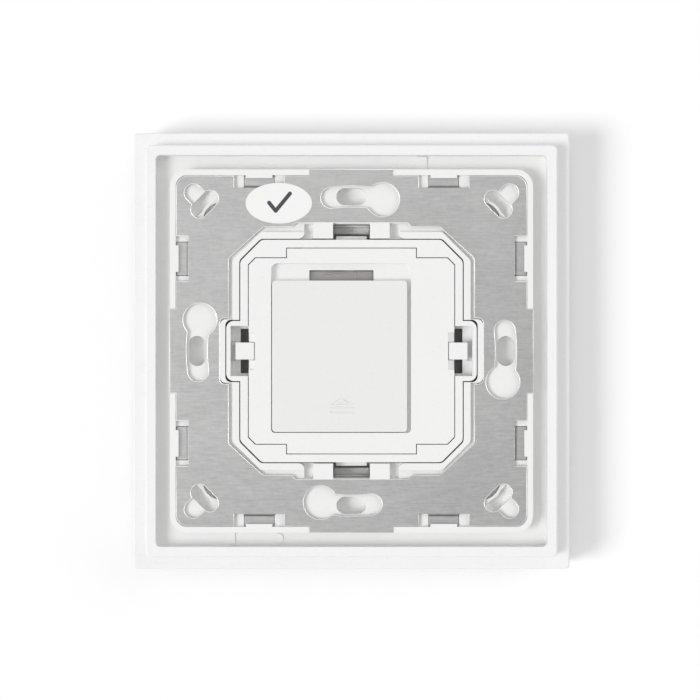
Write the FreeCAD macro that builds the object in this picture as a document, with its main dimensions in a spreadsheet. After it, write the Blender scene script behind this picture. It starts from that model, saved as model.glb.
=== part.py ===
import FreeCAD, Part
import math
import os
import Sketcher

# Battery-powered wall switch of the European 86 mm format, lying face down.
# Millimetres. Z runs from the key faces at 0 to the wall plane. Seen from the back, X is right, Y up.

SIZES = [
    # Whole switch
    ("total_depth", 13.6, "key faces to wall plane"),
    ("rear_play", 0.1, "wall plane to the rear faces of the insert"),
    ("fit_gap", 0.1, "clearance between pieces that plug together"),
    ("touch_gap", 0.05, "clearance between pieces that rest on each other and move"),
    # Cover frame
    ("frame_side", 86.0, "outside of the frame"),
    ("frame_radius", 0.7, "outer corners of the frame"),
    ("frame_edge", 0.5, "chamfer of the front edge"),
    ("frame_skin", 2.0, "thickness of the front face"),
    ("key_proud", 2.2, "keys stand this far in front of the frame"),
    ("rim_outer", 80.7, "outside of the rear rim"),
    ("rim_inner", 76.8, "inside of the rear rim"),
    ("rim_radius", 1.0, "corners of the rear rim"),
    ("rim_edge", 0.2, "chamfer of the rear edges"),
    ("flange_drop", 3.0, "wall plane to the flange round the rim"),
    ("opening_side", 55.6, "key opening"),
    ("opening_radius", 1.2, "corners of the key opening"),
    ("opening_wall", 1.5, "wall round the key opening"),
    ("ledge_width", 1.9, "ledge that the key holder clamps"),
    ("ledge_skin", 1.2, "thickness of that ledge"),
    ("rest_width", 1.6, "rests under the carrier, along the side"),
    ("rest_length", 2.2, "rests under the carrier, inward"),
    ("rest_pitch", 24.0, "spacing of the rests"),
    # Carrier
    ("carrier_skin", 1.5, "wall thickness of the carrier"),
    ("deck_side", 71.2, "outside of the raised deck"),
    ("deck_radius", 3.4, "corners of the raised deck"),
    ("corner_rim", 1.15, "width of the corner rims"),
    ("rim_gap_half", 8.3, "corner rims end this far from the centre lines"),
    ("collar_wall", 1.35, "collar round the module"),
    ("collar_ear_wall", 1.05, "collar wall round the ears"),
    ("module_gap", 0.2, "collar to module"),
    ("hook_width", 5.2, "snap hooks over the plate's tongues"),
    ("hook_reach", 0.55, "snap hooks, inward of the rims"),
    ("screw_oval_width", 3.4, "wells for the wall screws"),
    ("screw_oval_length", 5.9, "wells for the wall screws, overall"),
    ("screw_well", 3.0, "depth of those wells under the plate"),
    ("boss_wall", 1.1, "wall round each screw well"),
    ("corner_well", 2.2, "depth of the corner wells under the plate, in the middle"),
    ("corner_well_radius", 3.37, "round floor of the corner wells"),
    ("corner_drain", 0.8, "open slot at the inner side of each corner well"),
    ("corner_drain_past", 0.6, "this slot past the slot's end centres"),
    ("corner_rib", 0.27, "rib between slot and well"),
    ("latch_recess_half", 9.25, "half width of the latch recess"),
    ("latch_recess_edge", 24.9, "latch recess, outer edge from the centre"),
    ("finger_inner", 3.6, "latch fingers, near side"),
    ("finger_outer", 7.5, "latch fingers, far side"),
    ("finger_skin", 2.1, "thickness of the latch fingers"),
    ("latch_slot_depth", 1.7, "shallow ends of the latch recess"),
    ("latch_slot_round", 1.2, "rounded ends of the collar at the latch recess"),
    ("rib_offset", 12.5, "stiffening ribs from the centre lines"),
    ("rib_skin", 1.2, "thickness of the stiffening ribs"),
    ("channel_mark_height", 0.25, "small marks in the channel"),
    ("channel_block_x", 12.8, "block in the upper channel"),
    ("channel_block_width", 2.1, "block in the upper channel"),
    ("channel_rib_x", -23.4, "rib in the lower channel"),
    ("channel_rib_width", 0.45, "rib in the lower channel"),
    ("channel_pin_x", -14.4, "pin mark in the lower channel"),
    ("channel_pin_radius", 0.95, "pin mark in the lower channel"),
    # Mounting plate
    ("plate_thick", 0.7, "sheet thickness"),
    ("plate_play", 0.25, "plate to the corner rims, both sides together"),
    ("plate_radius", 2.3, "outer corners"),
    ("tab_half", 8.2, "half width of the tabs between the corner rims"),
    ("notch_offset", 18.1, "notches from the centre lines"),
    ("notch_depth", 2.4, "depth of the notches"),
    ("end_notch_width", 9.9, "notches on the upper and lower edges"),
    ("end_tongue_width", 5.8, "tongues on the upper and lower edges"),
    ("side_notch_width", 9.0, "notches on the sides"),
    ("side_tongue_width", 6.5, "tongues on the sides"),
    ("tongue_drop", 0.75, "tongues are pressed down this far"),
    ("tongue_root", 0.9, "joggle at the tongue's root"),
    ("arc_radius", 30.3, "keyholes lie on this radius"),
    ("arc_width", 4.2, "keyhole slots"),
    ("arc_tail_angle", 7.5, "slot end past the axis, degrees"),
    ("arc_head_angle", 11.6, "keyhole head before the axis, degrees"),
    ("arc_head_radius", 3.37, "keyhole heads"),
    ("corner_slot_radius", 40.7, "corner slots from the centre"),
    ("corner_slot_width", 3.45, "corner slots"),
    ("corner_slot_run", 2.97, "corner slots, between end centres"),
    ("corner_head_radius", 1.8, "corner keyhole heads"),
    ("corner_head_distance", 43.85, "corner keyhole heads from the centre"),
    ("window_x", 48.24, "central opening, width"),
    ("window_y", 48.76, "central opening, height"),
    ("window_step_y", 50.36, "central opening between the steps"),
    ("window_step_half", 11.0, "half width of the steps"),
    ("window_chamfer_x", 6.8, "corner chamfers of the opening"),
    ("window_chamfer_y", 6.2, "corner chamfers of the opening"),
    ("window_ear_x", 51.74, "opening across the ears"),
    ("window_ear_half", 6.55, "half height of the ears' opening"),
    ("ear_opening_round", 1.1, "corners of the openings round the ears"),
    ("sticker_width", 13.05, "oval inspection sticker"),
    ("sticker_height", 8.0, "oval inspection sticker"),
    ("sticker_thick", 0.08, "film thickness"),
    ("sticker_x", -14.25, "sticker centre"),
    ("sticker_y", 28.96, "sticker centre"),
    # Module housing
    ("module_side", 43.6, "housing"),
    ("module_chamfer", 4.2, "corner chamfers of the housing"),
    ("module_round", 1.3, "rounding of the chamfers"),
    ("module_wall", 1.55, "housing wall"),
    ("ear_span", 49.08, "across the two ears"),
    ("ear_half", 5.9, "half height of an ear"),
    ("ear_round", 1.5, "rounding of the ears"),
    ("ear_wall", 0.84, "wall round an ear's recess"),
    ("ear_recess_depth", 2.5, "depth of an ear's recess"),
    ("ear_recess_half", 4.9, "half height of an ear's recess"),
    ("ear_floor", 1.0, "floor under an ear's recess"),
    ("ear_slot_half", 4.4, "half height of the slot in the floor"),
    ("ear_slot_inner", 20.1, "slot, near side"),
    ("ear_slot_outer", 21.85, "slot, far side"),
    ("ear_groove_half", 1.9, "half height of the groove outside the clip"),
    ("ear_groove_depth", 0.4, "that groove under the recess"),
    ("clip_outer", 22.73, "clip, far side"),
    ("clip_inner", 19.1, "clip, near side"),
    ("clip_half", 1.66, "half height of the clip"),
    ("clip_thick", 0.75, "clip head thickness"),
    ("post_length", 2.8, "posts near the corners that hold the board"),
    ("latch_ledge_half", 3.0, "half width of the latch ledges"),
    ("latch_ledge_reach", 0.8, "latch ledges stand out this far"),
    ("latch_ledge_thick", 1.2, "latch ledges"),
    ("cover_rest", 1.0, "rests under the back cover"),
    # Back cover and door
    ("cover_gap", 0.16, "back cover to housing"),
    ("cover_thick", 1.2, "back cover"),
    ("cover_half_x", 20.15, "half width of the back cover"),
    ("cover_half_y", 18.2, "half height of the back cover at its corners"),
    ("cover_tab_y", 20.1, "half height over the two tabs"),
    ("cover_tab_half", 12.65, "half width of the two tabs"),
    ("cover_chamfer", 1.4, "corner chamfers of the back cover"),
    ("clip_ledge_half", 3.65, "half height of the ledges under the clips"),
    ("clip_ledge_edge", 18.9, "ledges start this far from the centre"),
    ("clip_ledge_drop", 0.9, "ledges slope down to this depth at the cover's edge"),
    ("clip_room", 0.15, "room round the clips' heads"),
    ("door_left", -15.58, "battery door, left edge"),
    ("door_right", 10.9, "battery door, right edge"),
    ("door_bottom", -15.87, "battery door, lower edge"),
    ("door_top", 13.8, "battery door, upper edge"),
    ("door_radius", 0.7, "corners of the door"),
    ("door_thick", 1.2, "battery door"),
    ("door_travel", 3.0, "slide before the door lifts off"),
    ("recess_right", 11.66, "right edge of the door's recess"),
    ("recess_top", 17.2, "upper edge of the finger recess"),
    ("recess_radius", 1.3, "upper corners of the recess"),
    ("well_skin", 0.95, "floor of the recess"),
    ("well_wall", 0.8, "wall round the cell"),
    ("window_left", -8.27, "window over the side contact, left"),
    ("window_right", 4.31, "window over the side contact, right"),
    ("window_upper", 15.87, "window over the side contact, top"),
    ("window_lower", 6.9, "window over the side contact, bottom, within the well"),
    ("door_tab_width", 3.0, "tabs of the door"),
    ("door_tab_reach", 1.4, "tabs of the door past its edge"),
    ("door_tab_thick", 0.85, "tabs of the door"),
    ("door_tab_pitch", 16.0, "spacing of the tabs"),
    ("arrow_x", -1.77, "arrow on the door"),
    ("arrow_tip_y", -9.1, "arrow tip"),
    ("arrow_base_y", -10.45, "arrow base"),
    ("arrow_half", 2.3, "half width of the arrow"),
    ("arrow_line", 0.32, "width of the arrow's lines"),
    ("arrow_depth", 0.12, "depth of the arrow's lines"),
    ("arrow_corner", 1.18, "inner outline, from the arrow's base corners"),
    ("arrow_point", 0.37, "inner outline, from the arrow's tip"),
    ("grip_start", 0.74, "first line under the arrow's base"),
    ("grip_pitch", 0.97, "spacing of the lines under the arrow"),
    # Cell and contacts
    ("cell_diameter", 24.5, "coin cell"),
    ("cell_height", 3.0, "coin cell"),
    ("cell_cap_inset", 1.3, "negative cap inside the can's edge"),
    ("cell_cap_step", 0.25, "negative cap stands out"),
    ("cell_edge", 0.35, "chamfer of the can"),
    ("cell_y", 0.8, "cell centre"),
    ("cell_play", 0.15, "cell to door"),
    ("cell_side_play", 0.35, "cell to well"),
    ("contact_height", 0.75, "room for the contact under the cell"),
    ("leaf_thick", 0.25, "contact sheet"),
    ("leaf_width", 2.2, "half width of the negative contact"),
    ("leaf_start_x", -5.33, "upright leaf of the side contact, free end"),
    ("leaf_start_y", 15.0, "upright leaf, free end"),
    ("leaf_crown_x", 0.06, "upright leaf, crown"),
    ("leaf_crown_y", 15.7, "upright leaf, crown"),
    ("leaf_end_x", 0.76, "upright leaf, end that bears on the can"),
    ("leaf_shoulder", 0.55, "bend of the leaf under its crown"),
    ("side_base_drop", 0.4, "base of the side contact under the recess floor"),
    ("contact_foot", 6.1, "negative contact, middle to the ends"),
    ("contact_knee", 4.1, "negative contact, middle to its bends"),
    # Circuit board
    ("board_thick", 1.0, "circuit board"),
    ("board_standoff", 2.2, "key holder to board"),
    ("board_gap", 0.2, "board to housing"),
    ("board_ear_x", 23.2, "board's ends in the ears"),
    ("board_ear_half", 4.6, "half height of the board's ends"),
    ("peg_x", 16.6, "locating pegs"),
    ("peg_y", 8.2, "locating pegs"),
    ("peg_side", 1.4, "locating pegs"),
    ("peg_head", 0.4, "pegs past the board"),
    ("switch_x", 11.5, "push switches from the centre"),
    ("switch_y", 12.8, "push switches from the centre"),
    ("switch_side", 4.5, "push switch body"),
    ("switch_height", 1.8, "push switch body"),
    ("plunger_side", 2.2, "push switch plunger"),
    ("plunger_proud", 0.65, "plunger in front of the body"),
    ("plunger_sink", 0.5, "plunger inside the body"),
    ("plunger_travel", 0.25, "switch travel"),
    ("led_side", 1.6, "indicator"),
    ("led_height", 0.7, "indicator"),
    ("pipe_radius", 1.0, "light pipe"),
    ("pipe_flange", 3.2, "side of the light pipe's flange"),
    ("pipe_flange_thick", 0.6, "light pipe's flange"),
    ("pipe_sink", 0.4, "light pipe behind the key faces"),
    ("radio_side", 5.0, "radio chip"),
    ("radio_height", 0.9, "radio chip"),
    ("radio_x", 14.6, "radio chip"),
    ("radio_y", 13.2, "radio chip"),
    ("logic_length", 6.5, "controller chip"),
    ("logic_width", 4.4, "controller chip"),
    ("logic_height", 1.0, "controller chip"),
    ("logic_x", 15.0, "controller chip"),
    ("logic_y", -14.4, "controller chip"),
    ("crystal_length", 3.2, "crystal"),
    ("crystal_width", 2.5, "crystal"),
    ("crystal_height", 0.8, "crystal"),
    ("crystal_x", -16.6, "crystal"),
    ("crystal_y", 14.6, "crystal"),
    ("cap_length", 1.6, "chip capacitors"),
    ("cap_width", 0.8, "chip capacitors"),
    ("cap_height", 0.8, "chip capacitors"),
    ("cap_row_x", -17.6, "row of capacitors"),
    ("cap_row_y", -15.4, "row of capacitors"),
    ("cap_pitch", 1.6, "spacing of the capacitors"),
    ("aerial_width", 0.8, "aerial strip"),
    ("aerial_thick", 0.3, "aerial strip"),
    ("aerial_y", -17.8, "aerial strip"),
    ("aerial_start_x", -12.0, "aerial strip, first foot"),
    ("aerial_end_x", 10.0, "aerial strip, second foot"),
    ("aerial_height", 1.6, "aerial over the board"),
    # Key holder and keys
    ("holder_skin", 1.2, "key holder plate"),
    ("holder_gap", 0.2, "key holder to frame opening"),
    ("skirt_wall", 1.0, "skirt that plugs into the housing"),
    ("pad_window", 4.2, "windows for the key pads"),
    ("holder_rib_x", 0.1, "small ribs seen in the latch recesses, near side"),
    ("holder_rib_skin", 0.4, "small ribs, thickness"),
    ("holder_rib_inner", 23.1, "small ribs, inner end"),
    ("holder_rib_outer", 24.5, "small ribs, outer end"),
    ("holder_rib_height", 1.2, "small ribs, height"),
    ("key_gap", 0.35, "keys to frame opening"),
    ("key_split", 0.3, "between the two keys"),
    ("key_skin", 1.5, "front wall of a key"),
    ("key_skirt", 1.2, "side wall of a key"),
    ("key_room", 1.1, "key skirts to key holder"),
    ("key_edge", 0.5, "chamfer of the key faces"),
    ("key_radius", 0.9, "outer corners of the keys"),
    ("pad_side", 2.8, "pads that press the plungers"),
    ("pad_gap", 0.07, "pads to plungers"),
    ("pivot_y", 2.4, "key pivots from the centre line"),
    ("pivot_depth", 0.8, "key pivots behind the key holder"),
    ("pivot_x", 14.5, "key lugs from the centre line"),
    ("pin_radius", 0.7, "key pivot pins"),
    ("pin_play", 0.05, "pivot pins in their bearings"),
    ("pin_throat", 0.9, "snap opening of the bearings, as a share of the pins' width"),
    ("lug_skin", 1.6, "key lugs"),
    ("lug_half", 1.2, "half width of the lugs"),
    ("lug_play", 0.25, "lugs to bearing cheeks"),
    ("cheek_skin", 1.0, "bearing cheeks"),
    ("lug_window", 0.4, "play of the lugs in the holder's windows"),
    ("catch_x", 10.0, "key catches from the centre line"),
    ("catch_y", 24.8, "key catches from the centre line"),
    ("catch_half", 1.5, "half width of a catch"),
    ("catch_skin", 1.0, "key catches"),
    ("catch_barb", 0.7, "barbs of the catches"),
    ("catch_play", 0.35, "catches in the holder's windows"),
    ("pipe_play", 0.3, "light pipe to keys"),
]

DOC = FreeCAD.newDocument("wall_switch")
SHEET = DOC.addObject("Spreadsheet::Sheet", "Dim")
for row, (alias, value, meaning) in enumerate(SIZES, start=1):
    SHEET.set("A%d" % row, meaning)
    SHEET.set("B%d" % row, str(value))
    SHEET.setAlias("B%d" % row, alias)
DOC.recompute()

PIECES = []

CAPACITORS = 4
GRIP_LINES = 2

# Heights, from the wall plane down
WALL = "Dim.total_depth"
REAR = "(Dim.total_depth - Dim.rear_play)"
FLANGE = "(Dim.total_depth - Dim.flange_drop)"
BASE_FRONT = "(%s - Dim.carrier_skin)" % FLANGE
PLATE_FRONT = "(%s - Dim.plate_thick)" % REAR
DECK_FRONT = "(%s - Dim.carrier_skin)" % PLATE_FRONT
TONGUE_REAR = "(%s - Dim.tongue_drop)" % REAR
TONGUE_FRONT = "(%s - Dim.tongue_drop)" % PLATE_FRONT
COVER_FRONT = "(%s - Dim.cover_thick)" % REAR
DOOR_FRONT = "(%s - Dim.door_thick)" % REAR
WELL_REAR = "(%s - Dim.touch_gap)" % DOOR_FRONT
WELL_FRONT = "(%s - Dim.well_skin)" % WELL_REAR
CELL_REAR = "(%s - Dim.cell_play)" % DOOR_FRONT
CELL_FRONT = "(%s - Dim.cell_height)" % CELL_REAR
BOARD_REAR = "(%s - Dim.contact_height)" % CELL_FRONT
BOARD_FRONT = "(%s - Dim.board_thick)" % BOARD_REAR
HOLDER_REAR = "(%s - Dim.board_standoff)" % BOARD_FRONT
HOLDER_FRONT = "(%s - Dim.holder_skin)" % HOLDER_REAR
LEDGE_REAR = "(%s + Dim.ledge_skin)" % HOLDER_REAR
SWITCH_FRONT = "(%s - Dim.switch_height)" % BOARD_FRONT
PLUNGER_FRONT = "(%s - Dim.plunger_proud)" % SWITCH_FRONT
PIVOT_Z = "(%s + Dim.pivot_depth)" % HOLDER_REAR
FRAME_FRONT = "Dim.key_proud"
FRAME_INSIDE = "(Dim.key_proud + Dim.frame_skin)"
KEY_REAR = "(%s - Dim.key_room)" % HOLDER_FRONT
EAR_RECESS = "(%s - Dim.ear_recess_depth)" % REAR
EAR_INSIDE = "(%s - Dim.ear_floor)" % EAR_RECESS
CLIP_FRONT = "(%s - Dim.clip_thick)" % REAR

# Places across the switch
CELL_X = "((Dim.door_left + Dim.door_right) / 2)"
CELL_WELL = "(Dim.cell_diameter / 2 + Dim.cell_side_play)"
INNER_HALF = "(Dim.module_side / 2 - Dim.module_wall)"
KEY_HALF = "(Dim.opening_side / 2 - Dim.key_gap)"
RIM_INSIDE = "(Dim.deck_side - 2 * Dim.corner_rim)"
PLATE_SIDE = "(Dim.deck_side - 2 * Dim.corner_rim - Dim.plate_play)"

# The two sides of a symmetrical piece
SIDES = (("left", -1), ("right", 1))


def size(expression):
    """Value of an expression on the sheet."""
    return float(SHEET.evalExpression(expression))


def negative(expression):
    return "-(%s)" % expression


def middle(first, second):
    return "((%s) + (%s)) / 2" % (first, second)


# Outlines

class Drawing:
    """Geometry of one sketch, with its constraints, which are added together at the end."""

    def __init__(self, sketch):
        self.sketch = sketch
        self.constraints = []
        self.bindings = []

    def draw(self, geometry, helper=False):
        return self.sketch.addGeometry(geometry, helper)

    def tie(self, *terms):
        self.constraints.append(Sketcher.Constraint(*terms))

    def bind(self, kind, targets, expression):
        """Constraint whose value follows an expression."""
        self.bindings.append((len(self.constraints), expression))
        self.tie(kind, *targets, size(expression))

    def fix_point(self, geometry, position, x, y):
        self.bind("DistanceX", (geometry, position), x)
        self.bind("DistanceY", (geometry, position), y)

    def finish(self):
        self.sketch.addConstraint(self.constraints)
        for index, expression in self.bindings:
            self.sketch.setExpression("Constraints[%d]" % index, expression)


def corner_arc(before, corner, after, radius):
    """Tangent points and centre of the arc that rounds a corner, and whether it turns left."""
    into = (before - corner).normalize()
    out = (after - corner).normalize()
    half = into.getAngle(out) / 2
    start = corner + into * (radius / math.tan(half))
    end = corner + out * (radius / math.tan(half))
    centre = corner + (into + out).normalize() * (radius / math.sin(half))
    return start, end, centre, into.cross(out).z < 0


def outline(corners, radii="0"):
    """Closed outline through the corners, each rounded by its radius."""
    count = len(corners)
    if isinstance(radii, str):
        radii = [radii] * count

    def draw(drawing):
        points = [FreeCAD.Vector(size(x), size(y), 0) for x, y in corners]
        values = [size(radius) for radius in radii]
        starts, ends, arcs = list(points), list(points), [None] * count
        for i in range(count):
            if values[i] > 0:
                following = points[(i + 1) % count]
                start, end, centre, left = corner_arc(points[i - 1], points[i], following, values[i])
                starts[i], ends[i] = start, end
                first, last = (start, end) if left else (end, start)
                angles = [math.atan2(p.y - centre.y, p.x - centre.x) for p in (first, last)]
                circle = Part.Circle(centre, FreeCAD.Vector(0, 0, 1), values[i])
                arcs[i] = (drawing.draw(Part.ArcOfCircle(circle, *angles)), left)
        lines = []
        for i in range(count):
            line = Part.LineSegment(ends[i], starts[(i + 1) % count])
            lines.append(drawing.draw(line))
        for i in range(count):
            x, y = corners[i]
            line_in, line_out = lines[i - 1], lines[i]
            if arcs[i] is None:
                drawing.tie("Coincident", line_in, 2, line_out, 1)
                drawing.fix_point(line_out, 1, x, y)
                continue
            arc, left = arcs[i]
            near, far = (1, 2) if left else (2, 1)
            drawing.tie("Tangent", line_in, 2, arc, near)
            drawing.tie("Tangent", arc, far, line_out, 1)
            drawing.bind("Radius", (arc,), radii[i])
            vertex = drawing.draw(Part.Point(points[i]), helper=True)
            drawing.fix_point(vertex, 1, x, y)
            drawing.tie("PointOnObject", vertex, 1, line_in)
            drawing.tie("PointOnObject", vertex, 1, line_out)

    return draw


def rectangle(x0, x1, y0, y1, radii="0"):
    return outline([(x0, y0), (x1, y0), (x1, y1), (x0, y1)], radii)


def around(x, y, half_x, half_y):
    """Rectangle centred on a point."""
    return rectangle("%s - %s" % (x, half_x), "%s + %s" % (x, half_x), "%s - %s" % (y, half_y),
                     "%s + %s" % (y, half_y))


def square(side, radius="0"):
    half = "(%s) / 2" % side
    return rectangle(negative(half), half, negative(half), half, radius)


def four_fold(quadrant):
    """Outline from corners (x, y, radius) of one quadrant, listed from the X axis to the Y axis."""
    right_up = quadrant
    left_up = [(negative(x), y, r) for x, y, r in reversed(quadrant)]
    left_down = [(negative(x), negative(y), r) for x, y, r in quadrant]
    right_down = [(x, negative(y), r) for x, y, r in reversed(quadrant)]
    corners = right_up + left_up + left_down + right_down
    return outline([(x, y) for x, y, _ in corners], [r for _, _, r in corners])


def circle(x, y, radius):
    def draw(drawing):
        centre = FreeCAD.Vector(size(x), size(y), 0)
        shape = Part.Circle(centre, FreeCAD.Vector(0, 0, 1), size(radius))
        index = drawing.draw(shape)
        drawing.bind("Radius", (index,), radius)
        drawing.fix_point(index, 3, x, y)

    return draw


def stadium(x0, y0, x1, y1, radius):
    """Slot between two end centres."""
    def draw(drawing):
        first = FreeCAD.Vector(size(x0), size(y0), 0)
        second = FreeCAD.Vector(size(x1), size(y1), 0)
        value = size(radius)
        along = (second - first).normalize()
        side = FreeCAD.Vector(-along.y, along.x, 0) * value
        heading = math.atan2(along.y, along.x)
        quarter = math.pi / 2
        up = FreeCAD.Vector(0, 0, 1)
        cap_one = Part.ArcOfCircle(Part.Circle(first, up, value), heading + quarter, heading + 3 * quarter)
        cap_two = Part.ArcOfCircle(Part.Circle(second, up, value), heading - quarter, heading + quarter)
        one = drawing.draw(cap_one)
        low = drawing.draw(Part.LineSegment(first - side, second - side))
        two = drawing.draw(cap_two)
        high = drawing.draw(Part.LineSegment(second + side, first + side))
        for before, after in ((one, low), (low, two), (two, high), (high, one)):
            drawing.tie("Tangent", before, 2, after, 1)
        drawing.fix_point(one, 3, x0, y0)
        drawing.fix_point(two, 3, x1, y1)
        drawing.tie("Equal", one, two)
        drawing.bind("Radius", (one,), radius)

    return draw


def curved_slot(track, angle0, angle1, width):
    """Slot along a circle round the origin, between two end angles in degrees."""
    def end_height(angle):
        return "(%s) * sin((%s) * 1 deg)" % (track, angle)

    def draw(drawing):
        origin, up = FreeCAD.Vector(0, 0, 0), FreeCAD.Vector(0, 0, 1)
        low, high = math.radians(size(angle0)), math.radians(size(angle1))
        middle_radius, half = size(track), size(width) / 2
        outer = Part.ArcOfCircle(Part.Circle(origin, up, middle_radius + half), low, high)
        inner = Part.ArcOfCircle(Part.Circle(origin, up, middle_radius - half), low, high)
        centres = [FreeCAD.Vector(math.cos(a), math.sin(a), 0) * middle_radius for a in (low, high)]
        start_cap = Part.ArcOfCircle(Part.Circle(centres[0], up, half), low + math.pi, low + 2 * math.pi)
        end_cap = Part.ArcOfCircle(Part.Circle(centres[1], up, half), high, high + math.pi)
        out, back, start, end = [drawing.draw(g) for g in (outer, inner, start_cap, end_cap)]
        for arc in (out, back):
            drawing.tie("Coincident", arc, 3, -1, 1)
        joints = ((out, 1, start, 2), (back, 1, start, 1), (out, 2, end, 1), (back, 2, end, 2))
        for joint in joints:
            drawing.tie("Tangent", *joint)
        drawing.bind("Radius", (out,), "(%s) + (%s) / 2" % (track, width))
        drawing.bind("Radius", (back,), "(%s) - (%s) / 2" % (track, width))
        drawing.bind("DistanceY", (start, 3), end_height(angle0))
        drawing.bind("DistanceY", (end, 3), end_height(angle1))

    return draw


# Solids

def new_body(name):
    body = DOC.addObject("PartDesign::Body", name)
    body.Label = name
    PIECES.append(body)
    return body


def origin_feature(body, role):
    return [feature for feature in body.Origin.OriginFeatures if feature.Role == role][0]


def draw_sketch(body, name, role, height, wires, turn="0"):
    """Sketch on one of the body's planes, at a height over it and turned about its normal."""
    sketch = body.newObject("Sketcher::SketchObject", "%s_sketch" % name)
    sketch.AttachmentSupport = [(origin_feature(body, role), "")]
    sketch.MapMode = "FlatFace"
    sketch.setExpression("AttachmentOffset.Base.z", height)
    sketch.AttachmentOffset = FreeCAD.Placement(FreeCAD.Vector(0, 0, size(height)),
                                                FreeCAD.Rotation(FreeCAD.Vector(0, 0, 1), size(turn)))
    drawing = Drawing(sketch)
    for wire in wires:
        wire(drawing)
    drawing.finish()
    return sketch


def add(body, name, low, high, *wires, plane="XY_Plane", turn="0"):
    """Material between two heights over a plane."""
    sketch = draw_sketch(body, name, plane, low, wires, turn)
    pad = body.newObject("PartDesign::Pad", name)
    pad.Profile = sketch
    pad.Refine = False
    pad.setExpression("Length", "(%s) - (%s)" % (high, low))
    DOC.recompute([pad])
    return pad


def cut(body, name, low, high, *wires, plane="XY_Plane", turn="0"):
    """Remove what lies between two heights over a plane."""
    before = body.Tip.Shape.Volume
    sketch = draw_sketch(body, name, plane, high, wires, turn)
    pocket = body.newObject("PartDesign::Pocket", name)
    pocket.Profile = sketch
    pocket.Refine = False
    pocket.setExpression("Length", "(%s) - (%s)" % (high, low))
    DOC.recompute([pocket])
    if pocket.Shape.Volume >= before:
        raise RuntimeError("%s of %s removes nothing" % (name, body.Label))
    return pocket


def repeat(body, name, features, count):
    """Turn features about the Z axis, evenly over a full circle."""
    pattern = body.newObject("PartDesign::PolarPattern", name)
    pattern.Originals = features
    pattern.Refine = False
    pattern.Axis = (origin_feature(body, "Z_Axis"), [""])
    pattern.Angle = 360
    pattern.Occurrences = count
    body.Tip = pattern
    DOC.recompute([pattern])
    return pattern


def hollow_round(body, name, height, wire, turn="0"):
    """Remove what a wire at a height sweeps round its sketch's horizontal axis."""
    sketch = draw_sketch(body, name, "XY_Plane", height, [wire], turn)
    groove = body.newObject("PartDesign::Groove", name)
    groove.Profile = sketch
    groove.ReferenceAxis = (sketch, ["H_Axis"])
    groove.Angle = 360
    groove.Refine = False
    DOC.recompute([groove])
    return groove


def chamfer_edges(body, name, width, chosen):
    """Chamfer the edges for which chosen(edge) is true."""
    base = body.Tip
    names = ["Edge%d" % (i + 1) for i, edge in enumerate(base.Shape.Edges) if chosen(edge)]
    if not names:
        raise RuntimeError("%s of %s finds no edge" % (name, body.Label))
    chamfer = body.newObject("PartDesign::Chamfer", name)
    chamfer.Base = (base, names)
    chamfer.setExpression("Size", width)
    DOC.recompute([chamfer])
    return chamfer


def at_height(height, reach):
    """Edges that lie flat at a height, at least a reach from the middle."""
    level, limit = size(height), size(reach)

    def chosen(edge):
        box = edge.BoundBox
        flat = abs(box.ZMin - level) < 1e-4 and abs(box.ZMax - level) < 1e-4
        centre = edge.CenterOfMass
        return flat and max(abs(centre.x), abs(centre.y)) > limit

    return chosen


# Outlines that neighbours share

def module_outline(grow, ear_radius):
    """Outline of the housing, with its two ears, grown by a clearance."""
    half = "(Dim.module_side / 2 + %s)" % grow
    ear = "(Dim.ear_span / 2 + %s)" % grow
    ear_half = "(Dim.ear_half + %s)" % grow
    straight = "(%s - Dim.module_chamfer)" % half
    return four_fold([(ear, ear_half, ear_radius), (half, ear_half, "0"),
                      (half, straight, "Dim.module_round"), (straight, half, "Dim.module_round")])


def collar_outline():
    half = "(Dim.module_side / 2 + Dim.module_gap + Dim.collar_wall)"
    ear = "(Dim.ear_span / 2 + Dim.module_gap + Dim.collar_ear_wall)"
    ear_half = "(Dim.ear_half + Dim.module_gap + Dim.fit_gap)"
    straight = "(%s - Dim.module_chamfer - Dim.collar_wall)" % half
    return four_fold([(ear, ear_half, "Dim.ear_opening_round"), (half, ear_half, "0"),
                      (half, straight, "Dim.module_round"), (straight, half, "Dim.module_round")])


def cover_outline(grow):
    side = "(Dim.cover_half_x + %s)" % grow
    shoulder = "(Dim.cover_half_y + %s)" % grow
    tab = "(Dim.cover_tab_y + %s)" % grow
    tab_half = "(Dim.cover_tab_half + %s)" % grow
    return four_fold([(side, "%s - Dim.cover_chamfer" % shoulder, "0"),
                      ("%s - Dim.cover_chamfer" % side, shoulder, "0"),
                      (tab_half, shoulder, "0"), (tab_half, tab, "0")])


def window_outline():
    """Central opening of the mounting plate."""
    side, top, step = "Dim.window_x / 2", "Dim.window_y / 2", "Dim.window_step_y / 2"
    slant = "(Dim.window_step_half + %s - %s)" % (step, top)
    return four_fold([("Dim.window_ear_x / 2", "Dim.window_ear_half", "Dim.ear_opening_round"),
                      (side, "Dim.window_ear_half", "0"),
                      (side, "%s - Dim.window_chamfer_y" % top, "Dim.module_round"),
                      ("%s - Dim.window_chamfer_x" % side, top, "Dim.module_round"),
                      (slant, top, "0"), ("Dim.window_step_half", step, "0")])


def notch(offset, width, inner, outer):
    """Rectangle by the upper edge, centred an offset from the centre line."""
    return rectangle("%s - (%s) / 2" % (offset, width), "%s + (%s) / 2" % (offset, width), inner, outer)


# The notches on the upper and lower edges differ a little from those on the sides
NOTCHES = [("ends", "0", "Dim.end_notch_width", "Dim.end_tongue_width"),
           ("sides", "90", "Dim.side_notch_width", "Dim.side_tongue_width")]


# Pieces seen from the back

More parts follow.
